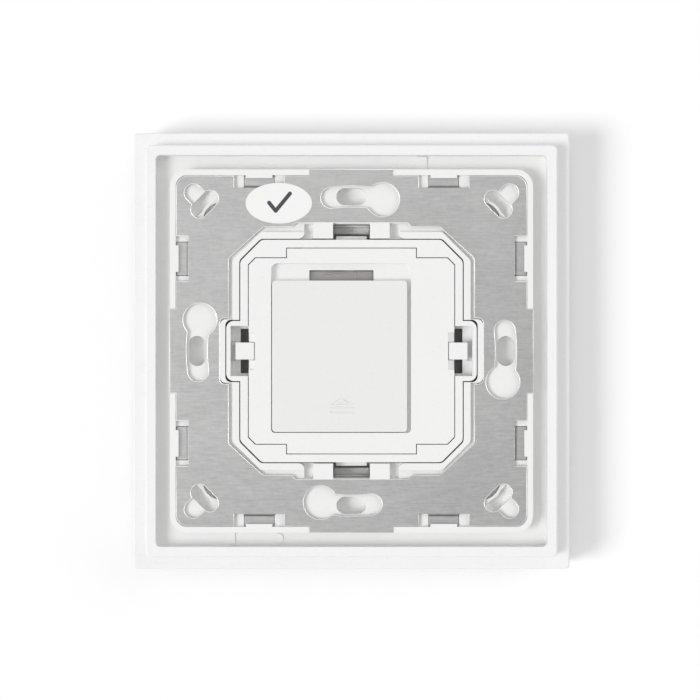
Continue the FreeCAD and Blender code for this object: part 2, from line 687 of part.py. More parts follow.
def make_cover_frame():
    body = new_body("cover_frame")
    inside = "Dim.rim_inner / 2"
    opening_outer = "(Dim.opening_side + 2 * Dim.opening_wall)"
    ledge_inner = "(Dim.opening_side - 2 * Dim.ledge_width)"
    add(body, "block", FRAME_FRONT, FLANGE, square("Dim.frame_side", "Dim.frame_radius"))
    add(body, "rim", FLANGE, WALL, square("Dim.rim_outer", "Dim.rim_radius"))
    chamfer_edges(body, "front_edge", "Dim.frame_edge", at_height(FRAME_FRONT, "Dim.rim_outer / 2"))
    chamfer_edges(body, "rim_edges", "Dim.rim_edge", at_height(WALL, "Dim.rim_inner / 2"))
    chamfer_edges(body, "flange_edges", "Dim.rim_edge",
                  at_height(FLANGE, "Dim.rim_outer / 2 + Dim.rim_edge"))
    cut(body, "hollow", FRAME_INSIDE, WALL, square("Dim.rim_inner", "Dim.rim_radius"))
    cut(body, "opening", FRAME_FRONT, FRAME_INSIDE, square("Dim.opening_side", "Dim.opening_radius"))
    add(body, "opening_wall", FRAME_INSIDE, LEDGE_REAR,
        square(opening_outer), square("Dim.opening_side", "Dim.opening_radius"))
    add(body, "ledge", HOLDER_REAR, LEDGE_REAR,
        square("(Dim.opening_side + Dim.opening_wall)"), square(ledge_inner))
    rests = [rectangle("%s - Dim.rest_width / 2" % x, "%s + Dim.rest_width / 2" % x,
                       "%s - Dim.rest_length" % inside, "%s + Dim.fit_gap" % inside)
             for x in ("-Dim.rest_pitch", "0", "Dim.rest_pitch")]
    rest = add(body, "rests", FRAME_INSIDE, BASE_FRONT, *rests)
    repeat(body, "rests_round", [rest], 4)


def make_mounting_plate():
    body = new_body("mounting_plate")
    half, tab = "Dim.deck_side / 2", "Dim.tab_half"
    edge = "%s / 2" % PLATE_SIDE
    add(body, "sheet", PLATE_FRONT, REAR, square(PLATE_SIDE, "Dim.plate_radius"))
    add(body, "tabs_across", PLATE_FRONT, REAR, rectangle(negative(half), half, negative(tab), tab))
    add(body, "tabs_up", PLATE_FRONT, REAR, rectangle(negative(tab), tab, negative(half), half))
    cut(body, "central_opening", PLATE_FRONT, REAR, window_outline())
    inner = "(%s - Dim.notch_depth)" % edge
    offsets = ("-Dim.notch_offset", "Dim.notch_offset")
    for name, turn, notch_width, tongue_width in NOTCHES:
        notches = cut(body, "notches_%s" % name, PLATE_FRONT, REAR,
                      *[notch(x, notch_width, inner, "%s + Dim.fit_gap" % edge) for x in offsets], turn=turn)
        root = "%s - Dim.tongue_root" % inner
        joggles = add(body, "joggles_%s" % name, TONGUE_FRONT, REAR,
                      *[notch(x, tongue_width, root, inner) for x in offsets], turn=turn)
        tongues = add(body, "tongues_%s" % name, TONGUE_FRONT, TONGUE_REAR,
                      *[notch(x, tongue_width, "%s - Dim.fit_gap" % inner, edge) for x in offsets], turn=turn)
        repeat(body, "tongues_%s_both" % name, [notches, joggles, tongues], 2)
    track, head = "Dim.arc_radius", "Dim.arc_head_angle"
    arc_slot = cut(body, "arc_slot", PLATE_FRONT, REAR,
                   curved_slot(track, negative(head), "Dim.arc_tail_angle", "Dim.arc_width"), turn="180")
    head_x, head_y = "%s * cos(%s * 1 deg)" % (track, head), "-%s * sin(%s * 1 deg)" % (track, head)
    arc_head = cut(body, "arc_head", PLATE_FRONT, REAR,
                   circle(head_x, head_y, "Dim.arc_head_radius"), turn="180")
    track, run = "Dim.corner_slot_radius", "Dim.corner_slot_run / 2"
    across = stadium(track, negative(run), track, run, "Dim.corner_slot_width / 2")
    outward = stadium(track, "0", "Dim.corner_head_distance", "0", "Dim.corner_head_radius")
    corner_slot = cut(body, "corner_slot", PLATE_FRONT, REAR, across, turn="45")
    corner_head = cut(body, "corner_head", PLATE_FRONT, REAR, outward, turn="45")
    repeat(body, "keyholes", [arc_slot, arc_head, corner_slot, corner_head], 4)


def make_inspection_sticker():
    ellipse = DOC.addObject("Part::Ellipse", "sticker_edge")
    ellipse.setExpression("MajorRadius", "Dim.sticker_width / 2")
    ellipse.setExpression("MinorRadius", "Dim.sticker_height / 2")
    film = DOC.addObject("Part::Extrusion", "inspection_sticker")
    film.Base = ellipse
    film.DirMode = "Custom"
    film.Dir = FreeCAD.Vector(0, 0, 1)
    film.Solid = True
    film.setExpression("LengthFwd", "Dim.sticker_thick")
    film.setExpression("Placement.Base.x", "Dim.sticker_x")
    film.setExpression("Placement.Base.y", "Dim.sticker_y")
    film.setExpression("Placement.Base.z", REAR)
    film.Label = "inspection_sticker"
    PIECES.append(film)


def make_carrier():
    body = new_body("carrier")
    deck_half, rim_half = "Dim.deck_side / 2", "%s / 2" % RIM_INSIDE
    core_side = "(Dim.deck_side - 2 * Dim.carrier_skin)"
    add(body, "flange", BASE_FRONT, FLANGE, square("Dim.rim_inner", "Dim.rim_radius"))
    add(body, "deck", BASE_FRONT, PLATE_FRONT, square("Dim.deck_side", "Dim.deck_radius"))
    cut(body, "core", BASE_FRONT, DECK_FRONT, square(core_side))
    add(body, "corner_rims", PLATE_FRONT, REAR, square("Dim.deck_side", "Dim.deck_radius"),
        square(RIM_INSIDE, "Dim.deck_radius - Dim.corner_rim"))
    for name, turn in (("rim_gaps_ends", "0"), ("rim_gaps_sides", "90")):
        gap, reach = "Dim.rim_gap_half", "(%s + Dim.fit_gap)" % deck_half
        cut(body, name, PLATE_FRONT, REAR, rectangle(negative(gap), gap, negative(reach), reach), turn=turn)
    add(body, "collar", BASE_FRONT, REAR, collar_outline())
    cut(body, "module_opening", BASE_FRONT, REAR, module_outline("Dim.module_gap", "Dim.ear_opening_round"))

    # Room for the plate's tongues
    edge = "%s / 2" % PLATE_SIDE
    pocket_inner = "(%s - Dim.notch_depth - Dim.tongue_root - Dim.touch_gap)" % edge
    offsets = ("-Dim.notch_offset", "Dim.notch_offset")
    for name, turn, _, tongue_width in NOTCHES:
        well_width = "%s + 2 * Dim.fit_gap" % tongue_width
        wells = cut(body, "tongue_wells_%s" % name, "(%s - Dim.touch_gap)" % TONGUE_FRONT, PLATE_FRONT,
                    *[notch(x, well_width, pocket_inner, rim_half) for x in offsets], turn=turn)
        repeat(body, "tongue_wells_%s_both" % name, [wells], 2)

    # Hooks over the tongues, and ribs and screw bosses in front of the deck
    hooks = add(body, "hooks", TONGUE_REAR, REAR,
                *[notch(x, "Dim.hook_width", "%s - Dim.hook_reach" % rim_half, "%s + Dim.fit_gap" % rim_half)
                  for x in offsets])
    inner, outer = "Dim.module_side / 2 + Dim.module_gap + Dim.fit_gap", "(%s - Dim.fit_gap)" % deck_half
    ribs = [rectangle("%s - Dim.rib_skin / 2" % x, "%s + Dim.rib_skin / 2" % x, inner, outer)
            for x in ("-Dim.rib_offset", "Dim.rib_offset")]
    run = "(Dim.screw_oval_length - Dim.screw_oval_width) / 2"
    oval = "Dim.screw_oval_width / 2"
    track = "Dim.arc_radius"
    boss_across, boss_up = "(%s + %s + Dim.boss_wall)" % (run, oval), "(%s + Dim.boss_wall)" % oval
    ribs.append(rectangle(negative(boss_across), boss_across, "%s - %s" % (track, boss_up),
                          "%s + %s" % (track, boss_up)))
    front_ribs = add(body, "ribs_and_bosses", BASE_FRONT, DECK_FRONT, *ribs)
    screw_well = cut(body, "screw_well", "(%s - Dim.screw_well)" % PLATE_FRONT, PLATE_FRONT,
                     stadium(negative(run), track, run, track, oval))

    # Round-floored wells under the corner slots, each with an open slot at its inner side
    track, well = "Dim.corner_slot_radius", "Dim.corner_slot_width / 2"
    inner_side, outer_side = "(%s - %s)" % (track, well), "(%s + %s)" % (track, well)
    slot_side = "(%s + Dim.corner_drain)" % inner_side
    floor_radius = "Dim.corner_well_radius"
    slot_half = "(Dim.corner_slot_run / 2 + Dim.corner_drain_past)"
    boss_half = "(%s + Dim.boss_wall)" % floor_radius
    corner_boss = add(body, "corner_boss", BASE_FRONT, DECK_FRONT,
                      rectangle("%s - Dim.boss_wall" % inner_side, "%s + Dim.boss_wall" % outer_side,
                                negative(boss_half), boss_half), turn="45")
    axis_height = "(%s - Dim.corner_well + %s)" % (PLATE_FRONT, floor_radius)
    corner_well = hollow_round(body, "corner_well", axis_height,
                               rectangle("%s + Dim.corner_rib" % slot_side, outer_side, "0", floor_radius),
                               turn="45")
    drain = cut(body, "corner_drain", BASE_FRONT, PLATE_FRONT,
                rectangle(inner_side, slot_side, negative(slot_half), slot_half), turn="45")
    repeat(body, "four_sides", [hooks, front_ribs, screw_well, corner_boss, corner_well, drain], 4)

    # Latch recesses above and below the module
    recess_half, through_half = "Dim.latch_recess_half", "Dim.finger_outer"
    module_edge = "(Dim.module_side / 2 + Dim.module_gap)"
    within = "(%s - Dim.fit_gap)" % module_edge
    recess_edge = "Dim.latch_recess_edge"
    recess = cut(body, "latch_recess", BASE_FRONT, REAR,
                 rectangle(negative(through_half), through_half, within, recess_edge))
    past = "(%s + 2 * Dim.latch_slot_round)" % recess_half
    shallow = [(negative(past), within, "0"), (past, within, "0"), (past, module_edge, "0"),
               (recess_half, module_edge, "Dim.latch_slot_round"), (recess_half, recess_edge, "0"),
               (negative(recess_half), recess_edge, "0"),
               (negative(recess_half), module_edge, "Dim.latch_slot_round"),
               (negative(past), module_edge, "0")]
    ends = cut(body, "latch_recess_ends", "(%s - Dim.latch_slot_depth)" % REAR, REAR,
               outline([(x, y) for x, y, _ in shallow], [r for _, _, r in shallow]))
    finger_tip = "(%s + Dim.touch_gap)" % module_edge
    root = "(Dim.window_step_y / 2 - Dim.touch_gap)"
    sides = [("Dim.finger_inner", "Dim.finger_outer"), ("-Dim.finger_outer", "-Dim.finger_inner")]
    fingers = add(body, "fingers", "(%s - Dim.finger_skin)" % REAR, REAR,
                  *[rectangle(x0, x1, finger_tip, root) for x0, x1 in sides])
    roots = add(body, "finger_roots", DECK_FRONT, REAR,
                *[rectangle(x0, x1, "%s - Dim.fit_gap" % recess_edge, root) for x0, x1 in sides])
    repeat(body, "latches", [recess, ends, fingers, roots], 2)

    # Small marks of the mould in the channel round the deck
    low, high = "(%s - Dim.fit_gap)" % deck_half, "(Dim.rim_inner / 2 - Dim.fit_gap)"
    add(body, "channel_marks", FLANGE, "%s + Dim.channel_mark_height" % FLANGE,
        rectangle("Dim.channel_block_x", "Dim.channel_block_x + Dim.channel_block_width", low, high),
        rectangle("Dim.channel_rib_x", "Dim.channel_rib_x + Dim.channel_rib_width", negative(high),
                  negative(low)),
        circle("Dim.channel_pin_x", negative(middle(low, high)), "Dim.channel_pin_radius"))


def make_housing():
    body = new_body("housing")
    add(body, "shell", HOLDER_REAR, REAR, module_outline("0", "Dim.ear_round"))
    inner_corner = "(%s - Dim.module_chamfer + Dim.module_wall / 2)" % INNER_HALF
    cut(body, "inside", HOLDER_REAR, COVER_FRONT,
        four_fold([(INNER_HALF, inner_corner, "0"), (inner_corner, INNER_HALF, "0")]))
    cut(body, "cover_seat", COVER_FRONT, REAR, cover_outline("Dim.cover_gap"))

    # Ears: a recess behind, a hollow in front, and a slot between them
    ear_outer = "(Dim.ear_span / 2 - Dim.ear_wall)"
    within = "%s - Dim.fit_gap" % INNER_HALF
    half = "Dim.ear_recess_half"
    hollow = cut(body, "ear_hollow", HOLDER_REAR, EAR_INSIDE,
                 rectangle(within, ear_outer, negative(half), half))
    recess = cut(body, "ear_recess", EAR_RECESS, REAR, rectangle(within, ear_outer, negative(half), half))
    slot_half = "Dim.ear_slot_half"
    slot = cut(body, "ear_slot", EAR_INSIDE, EAR_RECESS,
               rectangle("Dim.ear_slot_inner", "Dim.ear_slot_outer", negative(slot_half), slot_half))
    groove_half = "Dim.ear_groove_half"
    groove = cut(body, "ear_groove", "(%s - Dim.ear_groove_depth)" % EAR_RECESS, EAR_RECESS,
                 rectangle("Dim.clip_outer", ear_outer, negative(groove_half), groove_half))
    repeat(body, "ears", [hollow, recess, slot, groove], 2)
    clip = "Dim.clip_half"
    arm = add(body, "clip_arm", EAR_RECESS, REAR,
              rectangle("Dim.ear_slot_outer", "Dim.clip_outer", negative(clip), clip))
    head = add(body, "clip_head", CLIP_FRONT, REAR,
               rectangle("Dim.clip_inner", "Dim.clip_outer", negative(clip), clip))
    repeat(body, "clips", [arm, head], 2)

    # Posts that hold the circuit board, rests for the back cover, and ledges for the latch fingers
    shoulder = "(Dim.cover_half_y + Dim.cover_gap)"
    post_x = "(%s - Dim.post_length)" % inner_corner
    outer = "(%s + Dim.fit_gap)" % INNER_HALF
    spans_x = ((post_x, inner_corner), (negative(inner_corner), negative(post_x)))
    spans_y = ((shoulder, outer), (negative(outer), negative(shoulder)))
    posts = [rectangle(*(span_x + span_y)) for span_x in spans_x for span_y in spans_y]
    add(body, "posts", BOARD_REAR, COVER_FRONT, *posts)
    rest_inner = "(%s - Dim.cover_rest)" % INNER_HALF
    rest_half = "(Dim.cover_tab_half - Dim.post_length)"
    rest = add(body, "cover_rest", "%s - Dim.cover_rest" % COVER_FRONT, COVER_FRONT,
               rectangle(negative(rest_half), rest_half, rest_inner, outer))
    repeat(body, "cover_rests", [rest], 2)
    ledge = "Dim.latch_ledge_half"
    side = "Dim.module_side / 2"
    ledge_rear = "(%s - Dim.finger_skin - Dim.fit_gap)" % REAR
    latch = add(body, "latch_ledge", "%s - Dim.latch_ledge_thick" % ledge_rear, ledge_rear,
                rectangle(negative(ledge), ledge, "%s - Dim.fit_gap" % side,
                          "%s + Dim.latch_ledge_reach" % side))
    repeat(body, "latch_ledges", [latch], 2)


def tab_span(side):
    """Left and right edge of a door tab, side being -1 or 1."""
    centre = "(%s + Dim.door_tab_pitch / 2 * (%d))" % (CELL_X, side)
    return "%s - Dim.door_tab_width / 2" % centre, "%s + Dim.door_tab_width / 2" % centre


def make_back_cover():
    body = new_body("back_cover")
    add(body, "plate", COVER_FRONT, REAR, cover_outline("0"))
    left, bottom = "(Dim.door_left - Dim.cover_gap)", "(Dim.door_bottom - Dim.cover_gap)"
    wall = "Dim.well_wall"
    add(body, "well_floor", WELL_FRONT, COVER_FRONT,
        rectangle("%s - %s" % (left, wall), "Dim.recess_right + %s" % wall,
                  "%s - %s" % (bottom, wall), "Dim.recess_top + %s" % wall))
    cut(body, "door_recess", WELL_REAR, REAR,
        rectangle(left, "Dim.recess_right", bottom, "Dim.recess_top",
                  ["Dim.door_radius", "Dim.door_radius", "Dim.recess_radius", "Dim.recess_radius"]))
    add(body, "cell_wall", CELL_FRONT, WELL_FRONT,
        circle(CELL_X, "Dim.cell_y", "%s + %s" % (CELL_WELL, wall)))
    cut(body, "cell_well", CELL_FRONT, WELL_REAR, circle(CELL_X, "Dim.cell_y", CELL_WELL))
    cut(body, "contact_window", CELL_FRONT, WELL_REAR,
        rectangle("Dim.window_left", "Dim.window_right", "Dim.window_lower", "Dim.window_upper"))
    well_top = "(Dim.cell_y + %s + %s + Dim.fit_gap)" % (CELL_WELL, wall)
    cut(body, "contact_gate", CELL_FRONT, WELL_FRONT,
        rectangle("%s - %s" % (CELL_X, CELL_WELL), "Dim.window_left + Dim.fit_gap",
                  "Dim.window_lower", well_top))
    low = "(Dim.door_bottom - Dim.door_tab_reach - Dim.fit_gap)"
    high = "(Dim.door_bottom + Dim.door_tab_reach + Dim.door_travel + Dim.fit_gap)"
    for label, side in SIDES:
        x0, x1 = tab_span(side)
        cut(body, "tab_slot_%s" % label, WELL_FRONT, WELL_REAR,
            rectangle("%s - Dim.fit_gap" % x0, "%s + Dim.fit_gap" % x1, low, high))
    ledge, near, far = "Dim.clip_ledge_half", "Dim.clip_ledge_edge", "(Dim.cover_half_x + Dim.fit_gap)"
    above, low_end = "(%s + Dim.fit_gap)" % REAR, "(%s - Dim.clip_ledge_drop)" % REAR
    slope = cut(body, "clip_ledge", negative(ledge), ledge,
                outline([(near, REAR), (far, low_end), (far, above), (near, above)]), plane="XZ_Plane")
    room = "(Dim.clip_half + Dim.clip_room)"
    clip_seat = cut(body, "clip_seat", "(%s - Dim.touch_gap)" % CLIP_FRONT, REAR,
                    rectangle("Dim.clip_inner - Dim.clip_room", far, negative(room), room))
    repeat(body, "clip_ledges", [slope, clip_seat], 2)


def make_battery_door():
    body = new_body("battery_door")
    add(body, "panel", DOOR_FRONT, REAR,
        rectangle("Dim.door_left", "Dim.door_right", "Dim.door_bottom", "Dim.door_top", "Dim.door_radius"))
    tab_rear = "(%s - Dim.touch_gap)" % COVER_FRONT
    tab_front = "%s - Dim.door_tab_thick" % tab_rear
    tab_inner = "Dim.door_bottom + Dim.door_tab_reach"
    for label, side in SIDES:
        x0, x1 = tab_span(side)
        add(body, "tab_%s" % label, tab_front, tab_rear,
            rectangle(x0, x1, "Dim.door_bottom - Dim.door_tab_reach", tab_inner))
        add(body, "tab_root_%s" % label, tab_front, DOOR_FRONT,
            rectangle(x0, x1, "Dim.door_bottom + Dim.fit_gap", tab_inner))

    # A plain arrow shows which way the door slides, with grip lines under it
    groove = "(%s - Dim.arrow_depth)" % REAR
    line, half = "Dim.arrow_line", "Dim.arrow_half"
    tip, base, x = "Dim.arrow_tip_y", "Dim.arrow_base_y", "Dim.arrow_x"
    inner_half, inner_base = "(%s - Dim.arrow_corner)" % half, "%s + %s" % (base, line)
    cut(body, "arrow", groove, REAR,
        outline([("%s - %s" % (x, half), base), ("%s + %s" % (x, half), base), (x, tip)]),
        outline([("%s - %s" % (x, inner_half), inner_base), ("%s + %s" % (x, inner_half), inner_base),
                 (x, "%s - Dim.arrow_point" % tip)]))
    lines = []
    for i in range(GRIP_LINES):
        y = "(%s - Dim.grip_start - Dim.grip_pitch * %d)" % (base, i)
        lines.append(rectangle("%s - %s" % (x, half), "%s + %s" % (x, half), y, "%s + %s" % (y, line)))
    cut(body, "grip_lines", groove, REAR, *lines)


# Cell, contacts and circuit board

def make_coin_cell():
    body = new_body("coin_cell")
    radius = "Dim.cell_diameter / 2"
    can_front = "(%s + Dim.cell_cap_step)" % CELL_FRONT
    add(body, "can", can_front, CELL_REAR, circle(CELL_X, "Dim.cell_y", radius))
    chamfer_edges(body, "can_edge", "Dim.cell_edge", at_height(CELL_REAR, "-1"))
    add(body, "cap", CELL_FRONT, can_front, circle(CELL_X, "Dim.cell_y", "%s - Dim.cell_cap_inset" % radius))


def make_negative_contact():
    """Bowed strip on the board that presses on the cell's cap."""
    body = new_body("battery_negative_contact")
    sheet, half = "Dim.leaf_thick", "Dim.leaf_width"
    foot, knee = "Dim.contact_foot", "Dim.contact_knee"
    low = BOARD_REAR
    crown = "(%s - Dim.touch_gap - %s)" % (CELL_FRONT, sheet)
    reach = "Dim.leaf_width / 2"
    near = [(CELL_X + " - " + foot, low), (CELL_X + " - " + knee, low), (CELL_X + " - " + reach, crown),
            (CELL_X + " + " + reach, crown), (CELL_X + " + " + knee, low), (CELL_X + " + " + foot, low)]
    far = [(x, "%s + %s" % (z, sheet)) for x, z in reversed(near)]
    strip_low, strip_high = "(-Dim.cell_y - %s)" % half, "(-Dim.cell_y + %s)" % half
    add(body, "strip", strip_low, strip_high, outline(near + far), plane="XZ_Plane")


def make_side_contact():
    """Sheet base on two feet, with an upright leaf whose end bears on the can."""
    body = new_body("battery_side_contact")
    sheet = "Dim.leaf_thick"
    left, right = "(Dim.window_left + Dim.fit_gap)", "(Dim.window_right - Dim.fit_gap)"
    can_top = "(Dim.cell_y + Dim.cell_diameter / 2 + Dim.fit_gap)"
    top = "(Dim.window_upper - Dim.fit_gap)"
    base_rear = "(%s - Dim.side_base_drop)" % WELL_FRONT
    add(body, "base", "%s - %s" % (base_rear, sheet), base_rear, rectangle(left, right, can_top, top))
    add(body, "feet", BOARD_REAR, base_rear, rectangle(left, "%s + %s" % (left, sheet), can_top, top),
        rectangle("%s - %s" % (right, sheet), right, can_top, top))
    bearing, offset = "(Dim.cell_diameter / 2 + Dim.touch_gap)", "(Dim.leaf_end_x - %s)" % CELL_X
    tip = "(Dim.cell_y + sqrt(%s ^ 2 - %s ^ 2))" % (bearing, offset)
    start_x, start_y = "Dim.leaf_start_x", "Dim.leaf_start_y"
    crown_x, crown_y, end_x = "Dim.leaf_crown_x", "Dim.leaf_crown_y", "Dim.leaf_end_x"
    shoulder = "(%s - Dim.leaf_shoulder)" % crown_y
    outer_x = "(%s + %s)" % (end_x, sheet)
    under = [(start_x, start_y), (crown_x, crown_y), (end_x, shoulder), (end_x, tip)]
    over = [(outer_x, tip), (outer_x, "%s + %s / 2" % (shoulder, sheet)),
            ("%s + %s / 2" % (crown_x, sheet), "%s + %s" % (crown_y, sheet)),
            (start_x, "%s + %s" % (start_y, sheet))]
    add(body, "leaf", "%s - %s" % (base_rear, sheet), "(%s - Dim.fit_gap)" % WELL_FRONT,
        outline(under + over))


def make_circuit_board():
    body = new_body("circuit_board")
    half = "(%s - Dim.board_gap)" % INNER_HALF
    corner = "(%s - Dim.module_chamfer + Dim.module_wall / 2)" % half
    add(body, "board", BOARD_FRONT, BOARD_REAR,
        four_fold([("Dim.board_ear_x", "Dim.board_ear_half", "0"), (half, "Dim.board_ear_half", "0"),
                   (half, corner, "0"), (corner, half, "0")]))
    hole_half = "(Dim.peg_side / 2 + Dim.fit_gap)"
    pegs = cut(body, "peg_holes", BOARD_FRONT, BOARD_REAR,
               around("Dim.peg_x", "Dim.peg_y", hole_half, hole_half))
    repeat(body, "peg_holes_round", [pegs], 2)


def make_box(name, x, y, length, width, low, high):
    """Plain block centred on a point, between two heights."""
    box = DOC.addObject("Part::Box", name)
    box.setExpression("Length", length)
    box.setExpression("Width", width)
    box.setExpression("Height", "(%s) - (%s)" % (high, low))
    box.setExpression("Placement.Base.x", "%s - (%s) / 2" % (x, length))
    box.setExpression("Placement.Base.y", "%s - (%s) / 2" % (y, width))
    box.setExpression("Placement.Base.z", low)
    return box


def make_rod(name, x, y, radius, low, high):
    rod = DOC.addObject("Part::Cylinder", name)
    rod.setExpression("Radius", radius)
    rod.setExpression("Height", "(%s) - (%s)" % (high, low))
    rod.setExpression("Placement.Base.x", x)
    rod.setExpression("Placement.Base.y", y)
    rod.setExpression("Placement.Base.z", low)
    return rod


def keep(piece, name):
    piece.Label = name
    PIECES.append(piece)


def join(name, parts):
    fused = DOC.addObject("Part::MultiFuse", name)
    fused.Shapes = parts
    keep(fused, name)


def make_board_parts():
    rear = BOARD_REAR
    flat_parts = [("radio_chip", "Dim.radio_x", "Dim.radio_y", "Dim.radio_side", "Dim.radio_side",
                   "Dim.radio_height"),
                  ("controller_chip", "Dim.logic_x", "Dim.logic_y", "Dim.logic_length", "Dim.logic_width",
                   "Dim.logic_height"),
                  ("crystal", "Dim.crystal_x", "Dim.crystal_y", "Dim.crystal_length", "Dim.crystal_width",
                   "Dim.crystal_height")]
    for name, x, y, length, width, height in flat_parts:
        keep(make_box(name, x, y, length, width, rear, "%s + %s" % (rear, height)), name)
    row = []
    for i in range(CAPACITORS):
        y = "(Dim.cap_row_y + Dim.cap_pitch * %d)" % i
        row.append(make_box("capacitor_%d" % (i + 1), "Dim.cap_row_x", y, "Dim.cap_length", "Dim.cap_width",
                            rear, "%s + Dim.cap_height" % rear))
    group = DOC.addObject("Part::Compound", "capacitors")
    group.Links = row
    keep(group, "capacitors")
    keep(make_box("indicator_led", "0", "0", "Dim.led_side", "Dim.led_side",
                  "%s - Dim.led_height" % BOARD_FRONT, BOARD_FRONT), "indicator_led")


def make_aerial():
    """Bent strip that stands on the board along its lower edge."""
    body = new_body("aerial")
    start, end, sheet = "Dim.aerial_start_x", "Dim.aerial_end_x", "Dim.aerial_thick"
    top = "(%s + Dim.aerial_height)" % BOARD_REAR
    under, left, right = "%s - %s" % (top, sheet), "%s + %s" % (start, sheet), "%s - %s" % (end, sheet)
    outside = [(start, BOARD_REAR), (start, top), (end, top), (end, BOARD_REAR)]
    inside = [(right, BOARD_REAR), (right, under), (left, under), (left, BOARD_REAR)]
    half = "Dim.aerial_width / 2"
    add(body, "strip", "(-Dim.aerial_y - %s)" % half, "(-Dim.aerial_y + %s)" % half,
        outline(outside + inside), plane="XZ_Plane")


def make_switches():
    corners = [("upper_right", "", ""), ("upper_left", "-", ""), ("lower_left", "-", "-"),
               ("lower_right", "", "-")]
    for place, sign_x, sign_y in corners:
        x, y = "%sDim.switch_x" % sign_x, "%sDim.switch_y" % sign_y
        name = "push_switch_%s" % place
        case = make_box(name + "_case", x, y, "Dim.switch_side", "Dim.switch_side", SWITCH_FRONT, BOARD_FRONT)
        plunger_rear = "(%s + Dim.plunger_sink)" % SWITCH_FRONT
        bore_side = "(Dim.plunger_side + 2 * Dim.touch_gap)"
        bore = make_box(name + "_bore", x, y, bore_side, bore_side, SWITCH_FRONT,
                        "%s + Dim.plunger_travel + Dim.touch_gap" % plunger_rear)
        body = DOC.addObject("Part::Cut", name)
        body.Base = case
        body.Tool = bore
        keep(body, name)
        plunger = "switch_plunger_%s" % place
        keep(make_box(plunger, x, y, "Dim.plunger_side", "Dim.plunger_side", PLUNGER_FRONT, plunger_rear),
             plunger)


def make_light_pipe():
    pipe = make_rod("pipe_stem", "0", "0", "Dim.pipe_radius", "Dim.pipe_sink",
                    "(%s - Dim.led_height - Dim.touch_gap)" % BOARD_FRONT)
    flange = make_box("pipe_collar", "0", "0", "Dim.pipe_flange", "Dim.pipe_flange", HOLDER_REAR,
                      "%s + Dim.pipe_flange_thick" % HOLDER_REAR)
    join("light_pipe", [pipe, flange])


# Front of the switch

